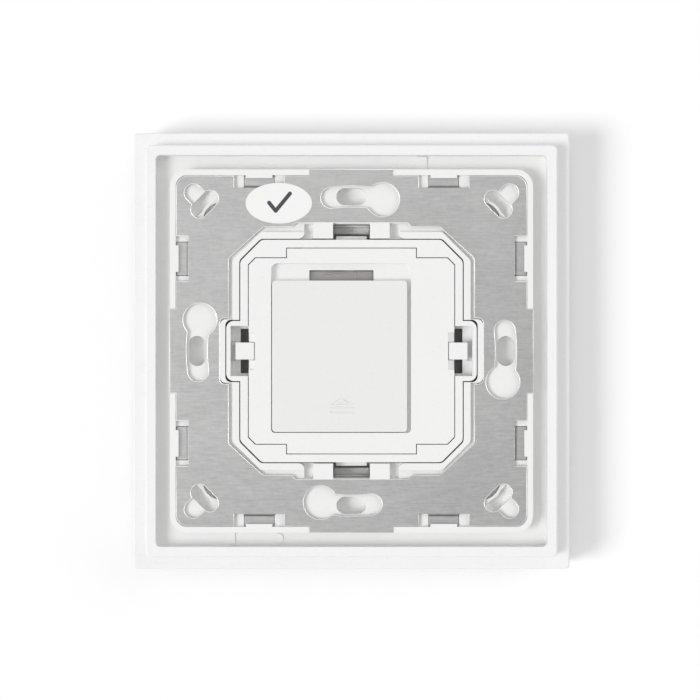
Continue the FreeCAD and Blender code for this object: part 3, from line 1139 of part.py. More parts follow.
def make_key_holder():
    body = new_body("key_holder")
    half = "(Dim.opening_side / 2 - Dim.holder_gap)"
    bevel = "(%s - Dim.opening_radius)" % half
    add(body, "plate", HOLDER_FRONT, HOLDER_REAR, four_fold([(half, bevel, "0"), (bevel, half, "0")]))
    skirt = "(%s - Dim.fit_gap)" % INNER_HALF
    corner = "(%s - Dim.module_chamfer + Dim.module_wall / 2)" % skirt
    inner = "(%s - Dim.skirt_wall)" % skirt
    inner_corner = "(%s - Dim.module_chamfer + Dim.module_wall / 2)" % inner
    add(body, "skirt", HOLDER_REAR, BOARD_FRONT,
        four_fold([(skirt, corner, "0"), (corner, skirt, "0")]),
        four_fold([(inner, inner_corner, "0"), (inner_corner, inner, "0")]))
    peg_half = "Dim.peg_side / 2"
    add(body, "peg", HOLDER_REAR, "%s + Dim.peg_head" % BOARD_REAR,
        around("Dim.peg_x", "Dim.peg_y", peg_half, peg_half),
        around("-Dim.peg_x", "-Dim.peg_y", peg_half, peg_half))
    seat = "(%s + Dim.skirt_wall)" % peg_half
    add(body, "peg_seats", HOLDER_REAR, BOARD_FRONT,
        around("Dim.peg_x", "Dim.peg_y", seat, seat), around("-Dim.peg_x", "-Dim.peg_y", seat, seat))
    window = "Dim.pad_window / 2"
    pads = [around("%sDim.switch_x" % a, "%sDim.switch_y" % b, window, window)
            for a in ("", "-") for b in ("", "-")]
    cut(body, "pad_windows", HOLDER_FRONT, HOLDER_REAR, *pads)
    cut(body, "pipe_hole", HOLDER_FRONT, HOLDER_REAR, circle("0", "0", "Dim.pipe_radius + Dim.touch_gap"))
    places = [(side, sign) for side in (-1, 1) for sign in (-1, 1)]
    near, lug_room = "(Dim.lug_skin / 2 + Dim.lug_play)", "(Dim.lug_half + Dim.lug_window)"
    windows = [around("%d * Dim.pivot_x" % sign, "%d * Dim.pivot_y" % side, near, lug_room)
               for side, sign in places]
    cut(body, "lug_windows", HOLDER_FRONT, HOLDER_REAR, *windows)
    cheek_rear = "(%s - Dim.fit_gap)" % BOARD_FRONT
    cheek_x = "(Dim.pivot_x + %s + Dim.cheek_skin / 2)" % near
    cheeks = [around("%d * %s" % (sign, cheek_x), "%d * Dim.pivot_y" % side, "Dim.cheek_skin / 2", lug_room)
              for side, sign in places]
    add(body, "cheeks", HOLDER_REAR, cheek_rear, *cheeks)
    reach = "(Dim.pivot_x + %s + Dim.cheek_skin + Dim.fit_gap)" % near
    bores = [circle("%d * Dim.pivot_y" % side, PIVOT_Z, "Dim.pin_radius + Dim.pin_play") for side in (-1, 1)]
    cut(body, "bearings", negative(reach), reach, *bores, plane="YZ_Plane")
    throat = "(Dim.pin_radius * Dim.pin_throat)"
    throats = [rectangle("%d * Dim.pivot_y - %s" % (side, throat), "%d * Dim.pivot_y + %s" % (side, throat),
                         PIVOT_Z, "%s + Dim.fit_gap" % cheek_rear) for side in (-1, 1)]
    cut(body, "bearing_throats", negative(reach), reach, *throats, plane="YZ_Plane")
    catches = []
    for side, sign in places:
        x = "(%d * Dim.catch_x)" % sign
        inner_y = "Dim.catch_y - Dim.catch_skin / 2 - Dim.catch_barb - Dim.catch_play"
        outer_y = "Dim.catch_y + Dim.catch_skin / 2 + Dim.catch_play"
        y0, y1 = sorted(("%d * (%s)" % (side, inner_y), "%d * (%s)" % (side, outer_y)), key=size)
        catches.append(rectangle("%s - Dim.catch_half - Dim.catch_play" % x,
                                 "%s + Dim.catch_half + Dim.catch_play" % x, y0, y1))
    cut(body, "catch_windows", HOLDER_FRONT, HOLDER_REAR, *catches)
    root, rib_rear = "(%s - Dim.fit_gap)" % HOLDER_REAR, "(%s + Dim.holder_rib_height)" % HOLDER_REAR
    rib = add(body, "small_rib", root, rib_rear,
              rectangle("Dim.holder_rib_x", "Dim.holder_rib_x + Dim.holder_rib_skin",
                        "Dim.holder_rib_inner", "Dim.holder_rib_outer"))
    repeat(body, "small_ribs", [rib], 2)


def make_key(name, side):
    """One of the two keys, side being 1 for the upper one and -1 for the lower."""
    body = new_body(name)

    def across(inner, outer):
        y0, y1 = "%d * (%s)" % (side, inner), "%d * (%s)" % (side, outer)
        return (y0, y1) if side > 0 else (y1, y0)

    low, high = across("Dim.key_split / 2", KEY_HALF)
    radii = ["0", "0", "Dim.key_radius", "Dim.key_radius"]
    radii = radii if side > 0 else radii[::-1]
    add(body, "shell", "0", KEY_REAR, rectangle(negative(KEY_HALF), KEY_HALF, low, high, radii))
    chamfer_edges(body, "face_edge", "Dim.key_edge", at_height("0", "0"))
    core_low, core_high = across("Dim.key_split / 2 + Dim.key_skirt", "%s - Dim.key_skirt" % KEY_HALF)
    core_half = "(%s - Dim.key_skirt)" % KEY_HALF
    cut(body, "core", "Dim.key_skin", KEY_REAR,
        rectangle(negative(core_half), core_half, core_low, core_high))
    y, pad_half = "%d * Dim.switch_y" % side, "Dim.pad_side / 2"
    add(body, "pads", "Dim.key_skin", "%s - Dim.pad_gap" % PLUNGER_FRONT,
        around("Dim.switch_x", y, pad_half, pad_half), around("-Dim.switch_x", y, pad_half, pad_half))
    lug_rear = "(%s + Dim.pin_radius + Dim.fit_gap)" % PIVOT_Z
    lugs = [around("%d * Dim.pivot_x" % sign, "%d * Dim.pivot_y" % side, "Dim.lug_skin / 2", "Dim.lug_half")
            for sign in (-1, 1)]
    add(body, "lugs", "Dim.key_skin", lug_rear, *lugs)
    reach = "(Dim.pivot_x + Dim.lug_skin / 2 + Dim.lug_play + Dim.cheek_skin)"
    pin = circle("%d * Dim.pivot_y" % side, PIVOT_Z, "Dim.pin_radius")
    for label, sign in SIDES:
        x0, x1 = sorted(("%d * Dim.pivot_x" % sign, "%d * %s" % (sign, reach)), key=size)
        add(body, "pin_%s" % label, x0, x1, pin, plane="YZ_Plane")
    arms, barbs = [], []
    for sign in (-1, 1):
        x = "(%d * Dim.catch_x)" % sign
        x0, x1 = "%s - Dim.catch_half" % x, "%s + Dim.catch_half" % x
        inner_face, outer_face = "Dim.catch_y - Dim.catch_skin / 2", "Dim.catch_y + Dim.catch_skin / 2"
        arms.append(rectangle(x0, x1, *across(inner_face, outer_face)))
        barbs.append(rectangle(x0, x1, *across("%s - Dim.catch_barb" % inner_face, outer_face)))
    barb_front = "(%s + Dim.touch_gap)" % HOLDER_REAR
    add(body, "catch_arms", "Dim.key_skin", "%s + Dim.catch_barb" % barb_front, *arms)
    add(body, "catch_barbs", barb_front, "%s + Dim.catch_barb" % barb_front, *barbs)
    cut(body, "pipe_notch", "0", KEY_REAR, circle("0", "0", "Dim.pipe_radius + Dim.pipe_play"))


def main():
    make_cover_frame()
    make_carrier()
    make_mounting_plate()
    make_inspection_sticker()
    make_housing()
    make_back_cover()
    make_battery_door()
    make_coin_cell()
    make_negative_contact()
    make_side_contact()
    make_circuit_board()
    make_board_parts()
    make_aerial()
    make_switches()
    make_light_pipe()
    make_key_holder()
    make_key("key_upper", 1)
    make_key("key_lower", -1)
    for piece in PIECES:
        if piece.isDerivedFrom("PartDesign::Body"):
            piece.Tip.Refine = True
    DOC.recompute()

    for item in DOC.Objects:
        if "Invalid" in item.State or "Error" in item.State:
            raise RuntimeError("%s is not computed" % item.Label)
    os.makedirs("parts", exist_ok=True)
    for piece in PIECES:
        if piece.Shape.isNull() or not piece.Shape.isValid():
            raise RuntimeError("%s has no valid shape" % piece.Label)
    for piece in PIECES:
        piece.Shape.exportStep("parts/%s.step" % piece.Label)
        print(piece.Label, len(piece.Shape.Solids), round(piece.Shape.Volume, 2))


main()
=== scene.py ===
# %% [markdown]
# # A flush wall switch, lying on its keys
#
# The object is the back of a battery-powered wall switch: a white frame, a galvanised mounting
# plate, and a module whose door hides a coin cell. The solids come from the CAD model and are
# already right in shape, so this lesson is mostly about surfaces, light and the small things that
# are too fine for solids: the rolled edges of punched sheet, the print, the grain of a mould.
# Lengths are metres, as everywhere in Blender, and `MM` turns a drawing's millimetres into them.

# %% Load the model
import math

import bmesh
import bpy
from mathutils import Matrix, Vector


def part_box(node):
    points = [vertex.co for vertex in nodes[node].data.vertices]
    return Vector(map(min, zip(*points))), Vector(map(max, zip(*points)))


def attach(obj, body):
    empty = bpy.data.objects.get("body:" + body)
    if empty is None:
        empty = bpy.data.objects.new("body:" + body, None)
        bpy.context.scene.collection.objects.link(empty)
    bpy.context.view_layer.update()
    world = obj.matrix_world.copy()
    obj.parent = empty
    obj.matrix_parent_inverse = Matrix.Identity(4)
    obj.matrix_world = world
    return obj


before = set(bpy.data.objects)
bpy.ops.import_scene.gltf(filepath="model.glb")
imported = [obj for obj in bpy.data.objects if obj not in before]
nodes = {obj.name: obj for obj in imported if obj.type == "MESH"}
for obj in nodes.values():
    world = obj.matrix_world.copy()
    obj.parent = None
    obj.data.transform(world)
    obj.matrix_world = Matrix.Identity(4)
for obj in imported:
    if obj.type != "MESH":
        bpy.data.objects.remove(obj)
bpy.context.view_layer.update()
MM = 0.001
WHOLE = "switch_body"


# %% Read the level that everything else stands on
def middle_and_half(node):
    """Middle of a node's box and half its size, in millimetres."""
    low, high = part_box(node)
    return (low + high) / 2 / MM, (high - low) / 2 / MM


PLATE_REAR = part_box("mounting_plate")[1].z
frame_half = middle_and_half("cover_frame")[1]
print("frame %.1f x %.1f mm, plate at %.1f mm" % (frame_half.x * 2, frame_half.y * 2, PLATE_REAR / MM))

# %% [markdown]
# ## Camera
#
# The photograph looks straight down with a long lens, so parallel edges stay parallel. A camera
# far away with a narrow angle gives the same look; an orthographic one would lose the small
# difference in scale between near and far. The distance follows from how much smaller the deep
# flange appears than the plate above it, and the lens follows from the plate's scale in the
# picture: pixels across the plane are sensor pixels times lens over distance.

# %% Place the camera
IMAGE_SIDE = 700
SENSOR = 36.0
PIXELS_PER_MM = 5.103
CAMERA_DISTANCE = 420 * MM
NEAREST_SEEN = 10 * MM
MIDDLE_PIXEL = (351.5, 351.0)


def add_object(name, data):
    """A new object at the origin, linked to the scene."""
    made = bpy.data.objects.new(name, data)
    bpy.context.scene.collection.objects.link(made)
    return made


camera_data = bpy.data.cameras.new("overhead")
camera_data.sensor_width = SENSOR
camera_data.lens = PIXELS_PER_MM * SENSOR / IMAGE_SIDE * CAMERA_DISTANCE / MM
camera_data.clip_start = NEAREST_SEEN
camera = add_object("overhead", camera_data)
off_x, off_y = [(pixel - IMAGE_SIDE / 2) / PIXELS_PER_MM * MM for pixel in MIDDLE_PIXEL]
camera.location = (-off_x, off_y, PLATE_REAR + CAMERA_DISTANCE)
bpy.context.scene.camera = camera
print("lens %.1f mm" % camera_data.lens)

# %% [markdown]
# ## A notation for shaders
#
# A procedural finish is a sum of masks and noises. Drawn as nodes such sums get long, so one
# small class wraps a node's output and lets Python operators add the Math nodes: `1 - mask * 0.2`
# reads like the formula. Numbers go through Math nodes, colours through Mix nodes, and every
# other node comes from the one method `node`, which sets its settings before its sockets.

# %% Wrap a socket
class Wire:
    """One output of a node, for use in expressions."""

    def __init__(self, tree, socket):
        self.tree = tree
        self.socket = socket

    def maths(self, operation, *others):
        inputs = dict(enumerate((self, *others)))
        return self.tree.node("ShaderNodeMath", {"operation": operation}, inputs)

    def __add__(self, other):
        return self.maths("ADD", other)

    def __mul__(self, other):
        return self.maths("MULTIPLY", other)

    def __sub__(self, other):
        return self.maths("SUBTRACT", other)

    def __truediv__(self, other):
        return self.maths("DIVIDE", other)

    def __gt__(self, other):
        return self.maths("GREATER_THAN", other)

    def __lt__(self, other):
        return self.maths("LESS_THAN", other)

    def __rsub__(self, other):
        return (self * -1) + other

    def __abs__(self):
        return self.maths("ABSOLUTE")

    __radd__ = __add__
    __rmul__ = __mul__

    def least(self, other):
        return self.maths("MINIMUM", other)

    def most(self, other):
        return self.maths("MAXIMUM", other)

    def root(self):
        return self.maths("SQRT")

    def step(self, start, end):
        """0 before start, 1 after end, smooth between them."""
        return self.tree.node("ShaderNodeMapRange", {"interpolation_type": "SMOOTHSTEP"},
                              {"Value": self, "From Min": start, "From Max": end})


# %% Wrap a node tree
class Tree:
    """A node tree that grows by one method."""

    def __init__(self, tree):
        self.tree = tree

    def node(self, kind, settings=None, inputs=None, out=0):
        made = self.tree.nodes.new(kind)
        for name, value in (settings or {}).items():
            setattr(made, name, value)
        for name, value in (inputs or {}).items():
            self.plug(made.inputs[name], value)
        return Wire(self, made.outputs[out]) if made.outputs else None

    def plug(self, socket, value):
        if isinstance(value, Wire):
            self.tree.links.new(value.socket, socket)
        else:
            socket.default_value = value

    def other(self, wire, out):
        """Another output of the node that a wire comes from."""
        return Wire(self, wire.socket.node.outputs[out])


# %% Wrap a material
BLACK = (0.0, 0.0, 0.0, 1.0)


class Finish(Tree):
    """A material with a Principled surface, and the patterns that this object's finishes share."""

    def __init__(self, name, **constants):
        self.material = bpy.data.materials.new(name)
        self.material.use_nodes = True
        super().__init__(self.material.node_tree)
        self.surface = self.tree.nodes["Principled BSDF"]
        self.place = self.node("ShaderNodeTexCoord", out="Object")
        for socket, value in constants.items():
            self.set(socket.replace("_", " "), value)

    def set(self, socket, value):
        self.plug(self.surface.inputs[socket], value)

    def axes(self):
        """The place on the object, in millimetres, as three numbers."""
        x = self.node("ShaderNodeSeparateXYZ", inputs={"Vector": self.place})
        return [wire / MM for wire in (x, self.other(x, "Y"), self.other(x, "Z"))]

    def noise(self, per_mm, detail=2.0, stretch=(1, 1, 1), rough=0.5):
        """Noise with a number of bumps per millimetre, finer or coarser along some axes."""
        scaled = self.node("ShaderNodeVectorMath", {"operation": "MULTIPLY"},
                           {0: self.place, 1: [per_mm / MM * share for share in stretch]})
        sockets = {"Vector": scaled, "Scale": 1.0, "Detail": detail, "Roughness": rough}
        return self.node("ShaderNodeTexNoise", {"normalize": True}, sockets, "Fac")

    def specks(self, per_mm, size):
        """1 inside scattered round specks, 0 elsewhere."""
        scaled = self.node("ShaderNodeVectorMath", {"operation": "SCALE"},
                           {"Vector": self.place, "Scale": per_mm / MM})
        distance = self.node("ShaderNodeTexVoronoi", {"feature": "F1"},
                             {"Vector": scaled, "Scale": 1.0, "Randomness": 1.0}, "Distance")
        return 1 - distance.step(size * 0.6, size)

    def mix(self, mask, start, end):
        """Colour from start to end as the mask goes from 0 to 1."""
        sockets = {"Factor": mask, 6: start, 7: end}
        return self.node("ShaderNodeMix", {"data_type": "RGBA"}, sockets, 2)

    def tinted(self, shade, tint):
        """A tint that turns darker where the shade is below 1."""
        return self.mix(shade.least(1.0), BLACK, (*tint, 1.0))

    def lifted(self, mask, colour, tint, gain):
        """A colour that turns into a brighter tint where the mask is 1."""
        bright = [min(channel * gain, 1.0) for channel in tint]
        return self.mix(mask, colour, (*bright, 1.0))

    def soft_edges(self, radius):
        """Normal of a surface whose edges are rounded, and a mask of those edges.

        The mask grows as the rounded normal turns away from the flat one.
        """
        rounded = self.node("ShaderNodeBevel", {"samples": 6}, {"Radius": radius * MM})
        flat = self.node("ShaderNodeNewGeometry", out="Normal")
        match = self.node("ShaderNodeVectorMath", {"operation": "DOT_PRODUCT"},
                          {0: rounded, 1: flat}, "Value")
        return rounded, (1 - match).step(0.01, 0.2)

    def bump(self, height, depth, normal=None):
        """Bumps of a depth in millimetres, over a normal."""
        sockets = {"Height": height, "Distance": depth * MM}
        if normal is not None:
            sockets["Normal"] = normal
        self.set("Normal", self.node("ShaderNodeBump", inputs=sockets))


# %% [markdown]
# ## Moulded plastic
#
# The white pieces are ABS. The frame's and the keys' moulds were polished, so they are satin; the
# inner pieces come from spark-eroded moulds, whose fine sand texture scatters light and hides
# wear. Each piece could have a finish of its own, but all are one recipe with other numbers: a
# pale colour with a faint cloud from the flow of the melt, a grain that drives roughness and
# bump, a little dust, and edges rounded in the normal, because no moulded edge is perfectly
# sharp, whose colour is also lifted a little as a painted highlight.

# %% Define the moulded finish
def moulded(name, tint, roughness, grain, grain_depth, edge, dust=0.03):
    """Grain is in bumps per millimetre; its depth and the edge's radius are in millimetres."""
    finish = Finish(name, IOR=1.5)
    cloud = finish.noise(0.05, detail=3)
    sand = finish.noise(grain, detail=2, rough=0.6)
    flecks, haze = finish.specks(0.7, 0.09), finish.noise(0.6, detail=4).step(0.55, 0.8)
    dirt = flecks * dust * 4 + haze * dust
    shade = (cloud - 0.5) * 0.05 + (sand - 0.5) * 0.09 + 1 - dirt
    rounded, edge_wear_and_highlight = finish.soft_edges(edge)
    # Edges get a colour a little lighter than the tint, a painted highlight; the roughness change
    # there is wear.
    finish.set("Base Color", finish.lifted(edge_wear_and_highlight * 0.5, finish.tinted(shade, tint), tint, 1.03))
    finish.set("Roughness", (sand - 0.5) * 0.18 + roughness - edge_wear_and_highlight * 0.08)
    finish.bump(sand, grain_depth, rounded)
    return finish.material


frame_white = moulded("frame_white", (0.88, 0.88, 0.88), 0.34, 2.0, 0.004, 0.12)
carrier_white = moulded("carrier_white", (0.85, 0.85, 0.845), 0.52, 6.0, 0.014, 0.06)
module_white = moulded("module_white", (0.855, 0.855, 0.85), 0.5, 7.0, 0.012, 0.05)
door_white = moulded("door_white", (0.81, 0.81, 0.805), 0.45, 7.0, 0.01, 0.06)
holder_white = moulded("holder_white", (0.84, 0.84, 0.835), 0.55, 5.0, 0.012, 0.1)
plunger_black = moulded("plunger_black", (0.02, 0.02, 0.02), 0.4, 4.0, 0.005, 0.06)
chip_black = moulded("chip_black", (0.03, 0.03, 0.032), 0.6, 9.0, 0.006, 0.05)
print("moulded finishes 7")

# %% [markdown]
# ## Brushed steel
#
# The mounting plate is galvanised sheet. The rolling mill leaves fine lines all one way, here
# along X; zinc adds a faint cloud, and handling adds pits and bright dots. A picture of such
# sheet would have to fit the plate's outline, while a noise runs through it at any size:
# stretched ten times along X, it turns into those lines. The sheet's colour also darkens a
# little from one corner to the other, a painted shade for a sheet that is not quite flat and
# so catches the light unevenly. Its edges are painted lighter, a painted highlight.

# %% Define the sheet's finish
PAINTED_SHADE_ALONG_X, PAINTED_SHADE_ALONG_Y = -0.9, 1.5    # painted shade: change of colour over a metre


def brushed_sheet(name, tint, lines_per_mm=3.2, depth=0.0025, edge=0.1):
    """The lines' depth and the edge's radius are in millimetres."""
    finish = Finish(name, Metallic=1.0)
    x, y, _ = finish.axes()
    grain = finish.noise(lines_per_mm, detail=3, stretch=(0.1, 1, 1), rough=0.65)
    cloud = finish.noise(0.11, detail=5, stretch=(0.6, 1, 1), rough=0.6)
    mottle = finish.noise(1.3, detail=3, rough=0.6)
    pits = finish.specks(1.1, 0.07)
    dots = finish.specks(1.7, 0.05)
    # Painted shade: the colour darkens from one corner of the sheet to the other.
    painted_corner_shade = (x * PAINTED_SHADE_ALONG_X + y * PAINTED_SHADE_ALONG_Y) * MM
    patches = (grain - 0.5) * 0.34 + (mottle - 0.5) * 0.2 + (cloud - 0.5) * 0.22
    shade = patches + painted_corner_shade + 0.9 - pits * 0.3 + dots * 0.15
    rounded, edge_rub_and_highlight = finish.soft_edges(edge)
    # Edges get a colour much lighter than the tint, a painted highlight; the smoother roughness there
    # is wear.
    finish.set("Base Color", finish.lifted(edge_rub_and_highlight * 0.6, finish.tinted(shade, tint), tint, 1.35))
    finish.set("Roughness", (grain - 0.5) * 0.22 + 0.42 + pits * 0.2 - edge_rub_and_highlight * 0.1)
    finish.bump(grain + mottle, depth, rounded)
    return finish.material


plate_steel = brushed_sheet("plate_steel", (0.48, 0.48, 0.478))
contact_nickel = brushed_sheet("contact_nickel", (0.72, 0.69, 0.62), 5.0, 0.0015, 0.05)
leaf_steel = brushed_sheet("leaf_steel", (0.36, 0.355, 0.345), 5.0, 0.0015, 0.05)
case_steel = brushed_sheet("case_steel", (0.68, 0.68, 0.67), 6.0, 0.0015, 0.06)
crystal_can = brushed_sheet("crystal_can", (0.72, 0.72, 0.7), 8.0, 0.001, 0.06)
copper_wire = brushed_sheet("copper_wire", (0.82, 0.46, 0.3), 6.0, 0.001, 0.04)
print("sheet finishes 6")

# %% [markdown]
# ## The coin cell
#
# A coin cell's can is turned while it is polished, so its lines are circles round the middle.
# An anisotropic shader would only stretch the highlight. The distance from the cell's axis, fed
# to a noise as its only varying coordinate, gives the rings themselves. The cell lies behind the
# door, so it shows only to somebody who takes the model apart.

# %% Define the cell's finish
RINGS_PER_MM = 4.0


def turned_can(name, node):
    finish = Finish(name, Metallic=1.0)
    middle = middle_and_half(node)[0]
    x, y, _ = finish.axes()
    across, along = x - middle.x, y - middle.y
    radius = (across * across + along * along).root()
    rings = finish.node("ShaderNodeTexNoise", {"noise_dimensions": "1D"},
                        {"W": radius * RINGS_PER_MM, "Scale": 1.0, "Detail": 3.0}, "Fac")
    rounded, edge_rub_and_highlight = finish.soft_edges(0.12)
    shade = (rings - 0.5) * 0.2 + 0.9
    finish.set("Base Color", finish.tinted(shade, (0.8, 0.79, 0.77)))
    finish.set("Roughness", (rings - 0.5) * 0.2 + 0.25 + edge_rub_and_highlight * 0.1)
    finish.bump(rings, 0.002, rounded)
    return finish.material


cell_can = turned_can("cell_can", "coin_cell")
print("cell radius %.2f mm" % middle_and_half("coin_cell")[1].x)

# %% [markdown]
# ## Board, light pipe and small parts
#
# The circuit board's grey lacquer covers copper tracks, which show as a faint relief. Its ends
# close the slots in the ears, so deep that they look nearly black. Tracks could be drawn one by
# one, but a folded coordinate gives parallel runs, and a noise leaves some of them out. A chip
# capacitor is fired ceramic with tinned ends, told apart by how far a point is from its middle.
# The lamp and its pipe are clear resin.

# %% Define the board's lacquer
TRACK_PITCH, TRACK_HALF, TRACK_EDGE = 1.3, 0.5, 0.08


def lacquered_board(name):
    finish = Finish(name, IOR=1.55)
    weave = finish.noise(2.5, detail=1)
    x, _, _ = finish.axes()
    runs = (abs(x.maths("PINGPONG", TRACK_PITCH)) - TRACK_HALF).step(0.0, TRACK_EDGE)
    tracks = runs * finish.noise(0.12).step(0.5, 0.56)
    colour = finish.mix(tracks, (0.28, 0.29, 0.28, 1.0), (0.34, 0.35, 0.34, 1.0))
    finish.set("Base Color", colour)
    finish.set("Roughness", weave * 0.2 + 0.3)
    finish.bump(tracks + weave * 0.1, 0.03)
    return finish.material


board_lacquer = lacquered_board("board_lacquer")


# %% Define the capacitors' ends and body
def fired_ceramic(name, node, end_width=0.35, blur=0.03):
    finish = Finish(name)
    middle, half = middle_and_half(node)
    x, _, _ = finish.axes()
    ends = (abs(x - middle.x) - (half.x - end_width)).step(-blur, blur)
    grit = finish.noise(14.0, detail=2)
    body = finish.mix(grit, (0.3, 0.21, 0.13, 1.0), (0.42, 0.31, 0.2, 1.0))
    finish.set("Base Color", finish.mix(ends, body, (0.72, 0.72, 0.7, 1.0)))
    finish.set("Metallic", ends)
    finish.set("Roughness", grit * 0.2 + 0.35)
    finish.bump(grit, 0.006)
    return finish.material


capacitor_ceramic = fired_ceramic("capacitor_ceramic", "capacitors")


# %% Define the clear resins
def clear_resin(name, tint, roughness, haze):
    finish = Finish(name, IOR=1.49, Transmission_Weight=0.85)
    cloud = finish.noise(haze, detail=3)
    rounded, edge_wear_and_highlight = finish.soft_edges(0.08)
    finish.set("Base Color", finish.mix(cloud, (*tint, 1.0), (0.97, 0.97, 0.97, 1.0)))
    finish.set("Roughness", cloud * 0.12 + roughness + edge_wear_and_highlight * 0.1)
    finish.bump(cloud, 0.003, rounded)
    return finish.material


pipe_acrylic = clear_resin("pipe_acrylic", (0.9, 0.93, 0.95), 0.12, 1.2)
led_resin = clear_resin("led_resin", (0.95, 0.93, 0.8), 0.2, 3.0)
print("small part finishes 4")

# %% [markdown]
# ## The oval inspection sticker
#
# An inspector's sticker is thin satin film with a printed mark. The mark here is a plain tick.
# It could be a mesh of its own, but ink is flat and its edge bleeds, which a mask does better. In
# a shader a tick is two strokes, and a stroke is every point nearer than half a line's width to a
# segment. That distance is school geometry, written with the same operators as before.

# %% Measure the distance to a stroke
def stroke(x, y, start, end):
    """Distance from a point to the segment between two points."""
    run_x, run_y = end[0] - start[0], end[1] - start[1]
    from_x, from_y = x - start[0], y - start[1]
    along = (from_x * run_x + from_y * run_y) / (run_x * run_x + run_y * run_y)
    along = along.most(0.0).least(1.0)
    off_x, off_y = from_x - along * run_x, from_y - along * run_y
    return (off_x * off_x + off_y * off_y).root()


# %% Define the sticker's film and print
TICK = ((-1.9, 0.1), (-0.6, -1.5), (2.2, 1.9))
TICK_BLEED = 0.1


def printed_film(name, node, line=0.34):
    """The tick's points and half its line's width are in millimetres."""
    finish = Finish(name, IOR=1.45)
    middle, half = middle_and_half(node)
    x, y, _ = finish.axes()
    x, y = x - middle.x, y - middle.y
    tick = stroke(x, y, TICK[0], TICK[1]).least(stroke(x, y, TICK[1], TICK[2]))
    patchy = finish.noise(5.0, detail=3)
    ink = (1 - tick.step(line, line + TICK_BLEED)) * (1 - patchy.step(0.62, 0.8) * 0.35)
    fibre = finish.noise(3.0, detail=4)
    share_x, share_y = x / half.x, y / half.y
    rim = (share_x * share_x + share_y * share_y).root().step(0.95, 1.0)
    film = finish.mix(fibre, (0.86, 0.86, 0.855, 1.0), (0.9, 0.9, 0.895, 1.0))
    film = finish.mix(rim * 0.35, film, (0.7, 0.7, 0.69, 1.0))
    finish.set("Base Color", finish.mix(ink, film, (0.05, 0.05, 0.055, 1.0)))
    finish.set("Roughness", fibre * 0.1 + 0.34 + ink * 0.15)
    finish.bump(fibre - ink * 0.2, 0.004)
    return finish.material


sticker_film = printed_film("sticker_film", "inspection_sticker")
sticker_half = middle_and_half("inspection_sticker")[1]
print("sticker %.1f x %.1f mm" % (sticker_half.x * 2, sticker_half.y * 2))

# %% [markdown]
# ## Dress the solids
#
# Every solid keeps its mesh and gets its finish by name. The CAD meshes come with one material
# slot each, so dressing one is a single assignment.

# %% Assign the finishes
DRESS = {
    frame_white: ["cover_frame", "key_upper", "key_lower"],
    carrier_white: ["carrier"],
    module_white: ["housing", "back_cover"],
    door_white: ["battery_door"],
    plate_steel: ["mounting_plate"],
    sticker_film: ["inspection_sticker"],
    cell_can: ["coin_cell"],
    contact_nickel: ["battery_negative_contact"],
    leaf_steel: ["battery_side_contact"],
    board_lacquer: ["circuit_board"],
    chip_black: ["radio_chip", "controller_chip"],
    crystal_can: ["crystal"],
    capacitor_ceramic: ["capacitors"],
    copper_wire: ["aerial"],
    led_resin: ["indicator_led"],
    pipe_acrylic: ["light_pipe"],
    holder_white: ["key_holder"],
    case_steel: [name for name in nodes if name.startswith("push_switch")],
    plunger_black: [name for name in nodes if name.startswith("switch_plunger")],
}
for material, names in DRESS.items():
    for name in names:
        nodes[name].data.materials.clear()
        nodes[name].data.materials.append(material)
bare = sorted(set(nodes) - {name for names in DRESS.values() for name in names})
print("dressed", len(nodes) - len(bare), "left", bare)

# %% [markdown]
# ## Rolled edges of the punched plate
#
# A press leaves a small rolled edge on sheet metal, and under soft light it is the brightest thing
# on the plate: every keyhole has a light outline. A bevel would change the plate's own mesh, which
# stays as the CAD made it. The roll follows each edge of the plate's rear face, which is a rule,
# so Geometry Nodes make it. The tree picks the edges where the sheet turns a corner at the rear
# face, but not the lines where the tongues bend, turns them into curves, sweeps a small ring
# along them, and sets the material. It works on a merged copy of the CAD mesh, because the CAD's
# triangles are loose. The roll's steel has a tint far lighter than the plate's: a painted
# highlight on top of the light that the rounded roll catches.

# %% Make a merged copy of a solid
SAME_POINT = 1e-6


def merged_copy(name, node):
    mesh = nodes[node].data.copy()
    work = bmesh.new()
    work.from_mesh(mesh)
    bmesh.ops.remove_doubles(work, verts=work.verts, dist=SAME_POINT)
    work.to_mesh(mesh)
    work.free()
    return add_object(name, mesh)


# %% Build the tree that rolls an edge
ROLL_INPUTS = {"Level": 13.5 * MM, "Roll Radius": 0.1 * MM, "Corner Angle": 1.2, "Bend Line": 30 * MM}
LEVEL_PLAY, BEND_PLAY = 0.02 * MM, 0.03 * MM
RING_CORNERS = 8


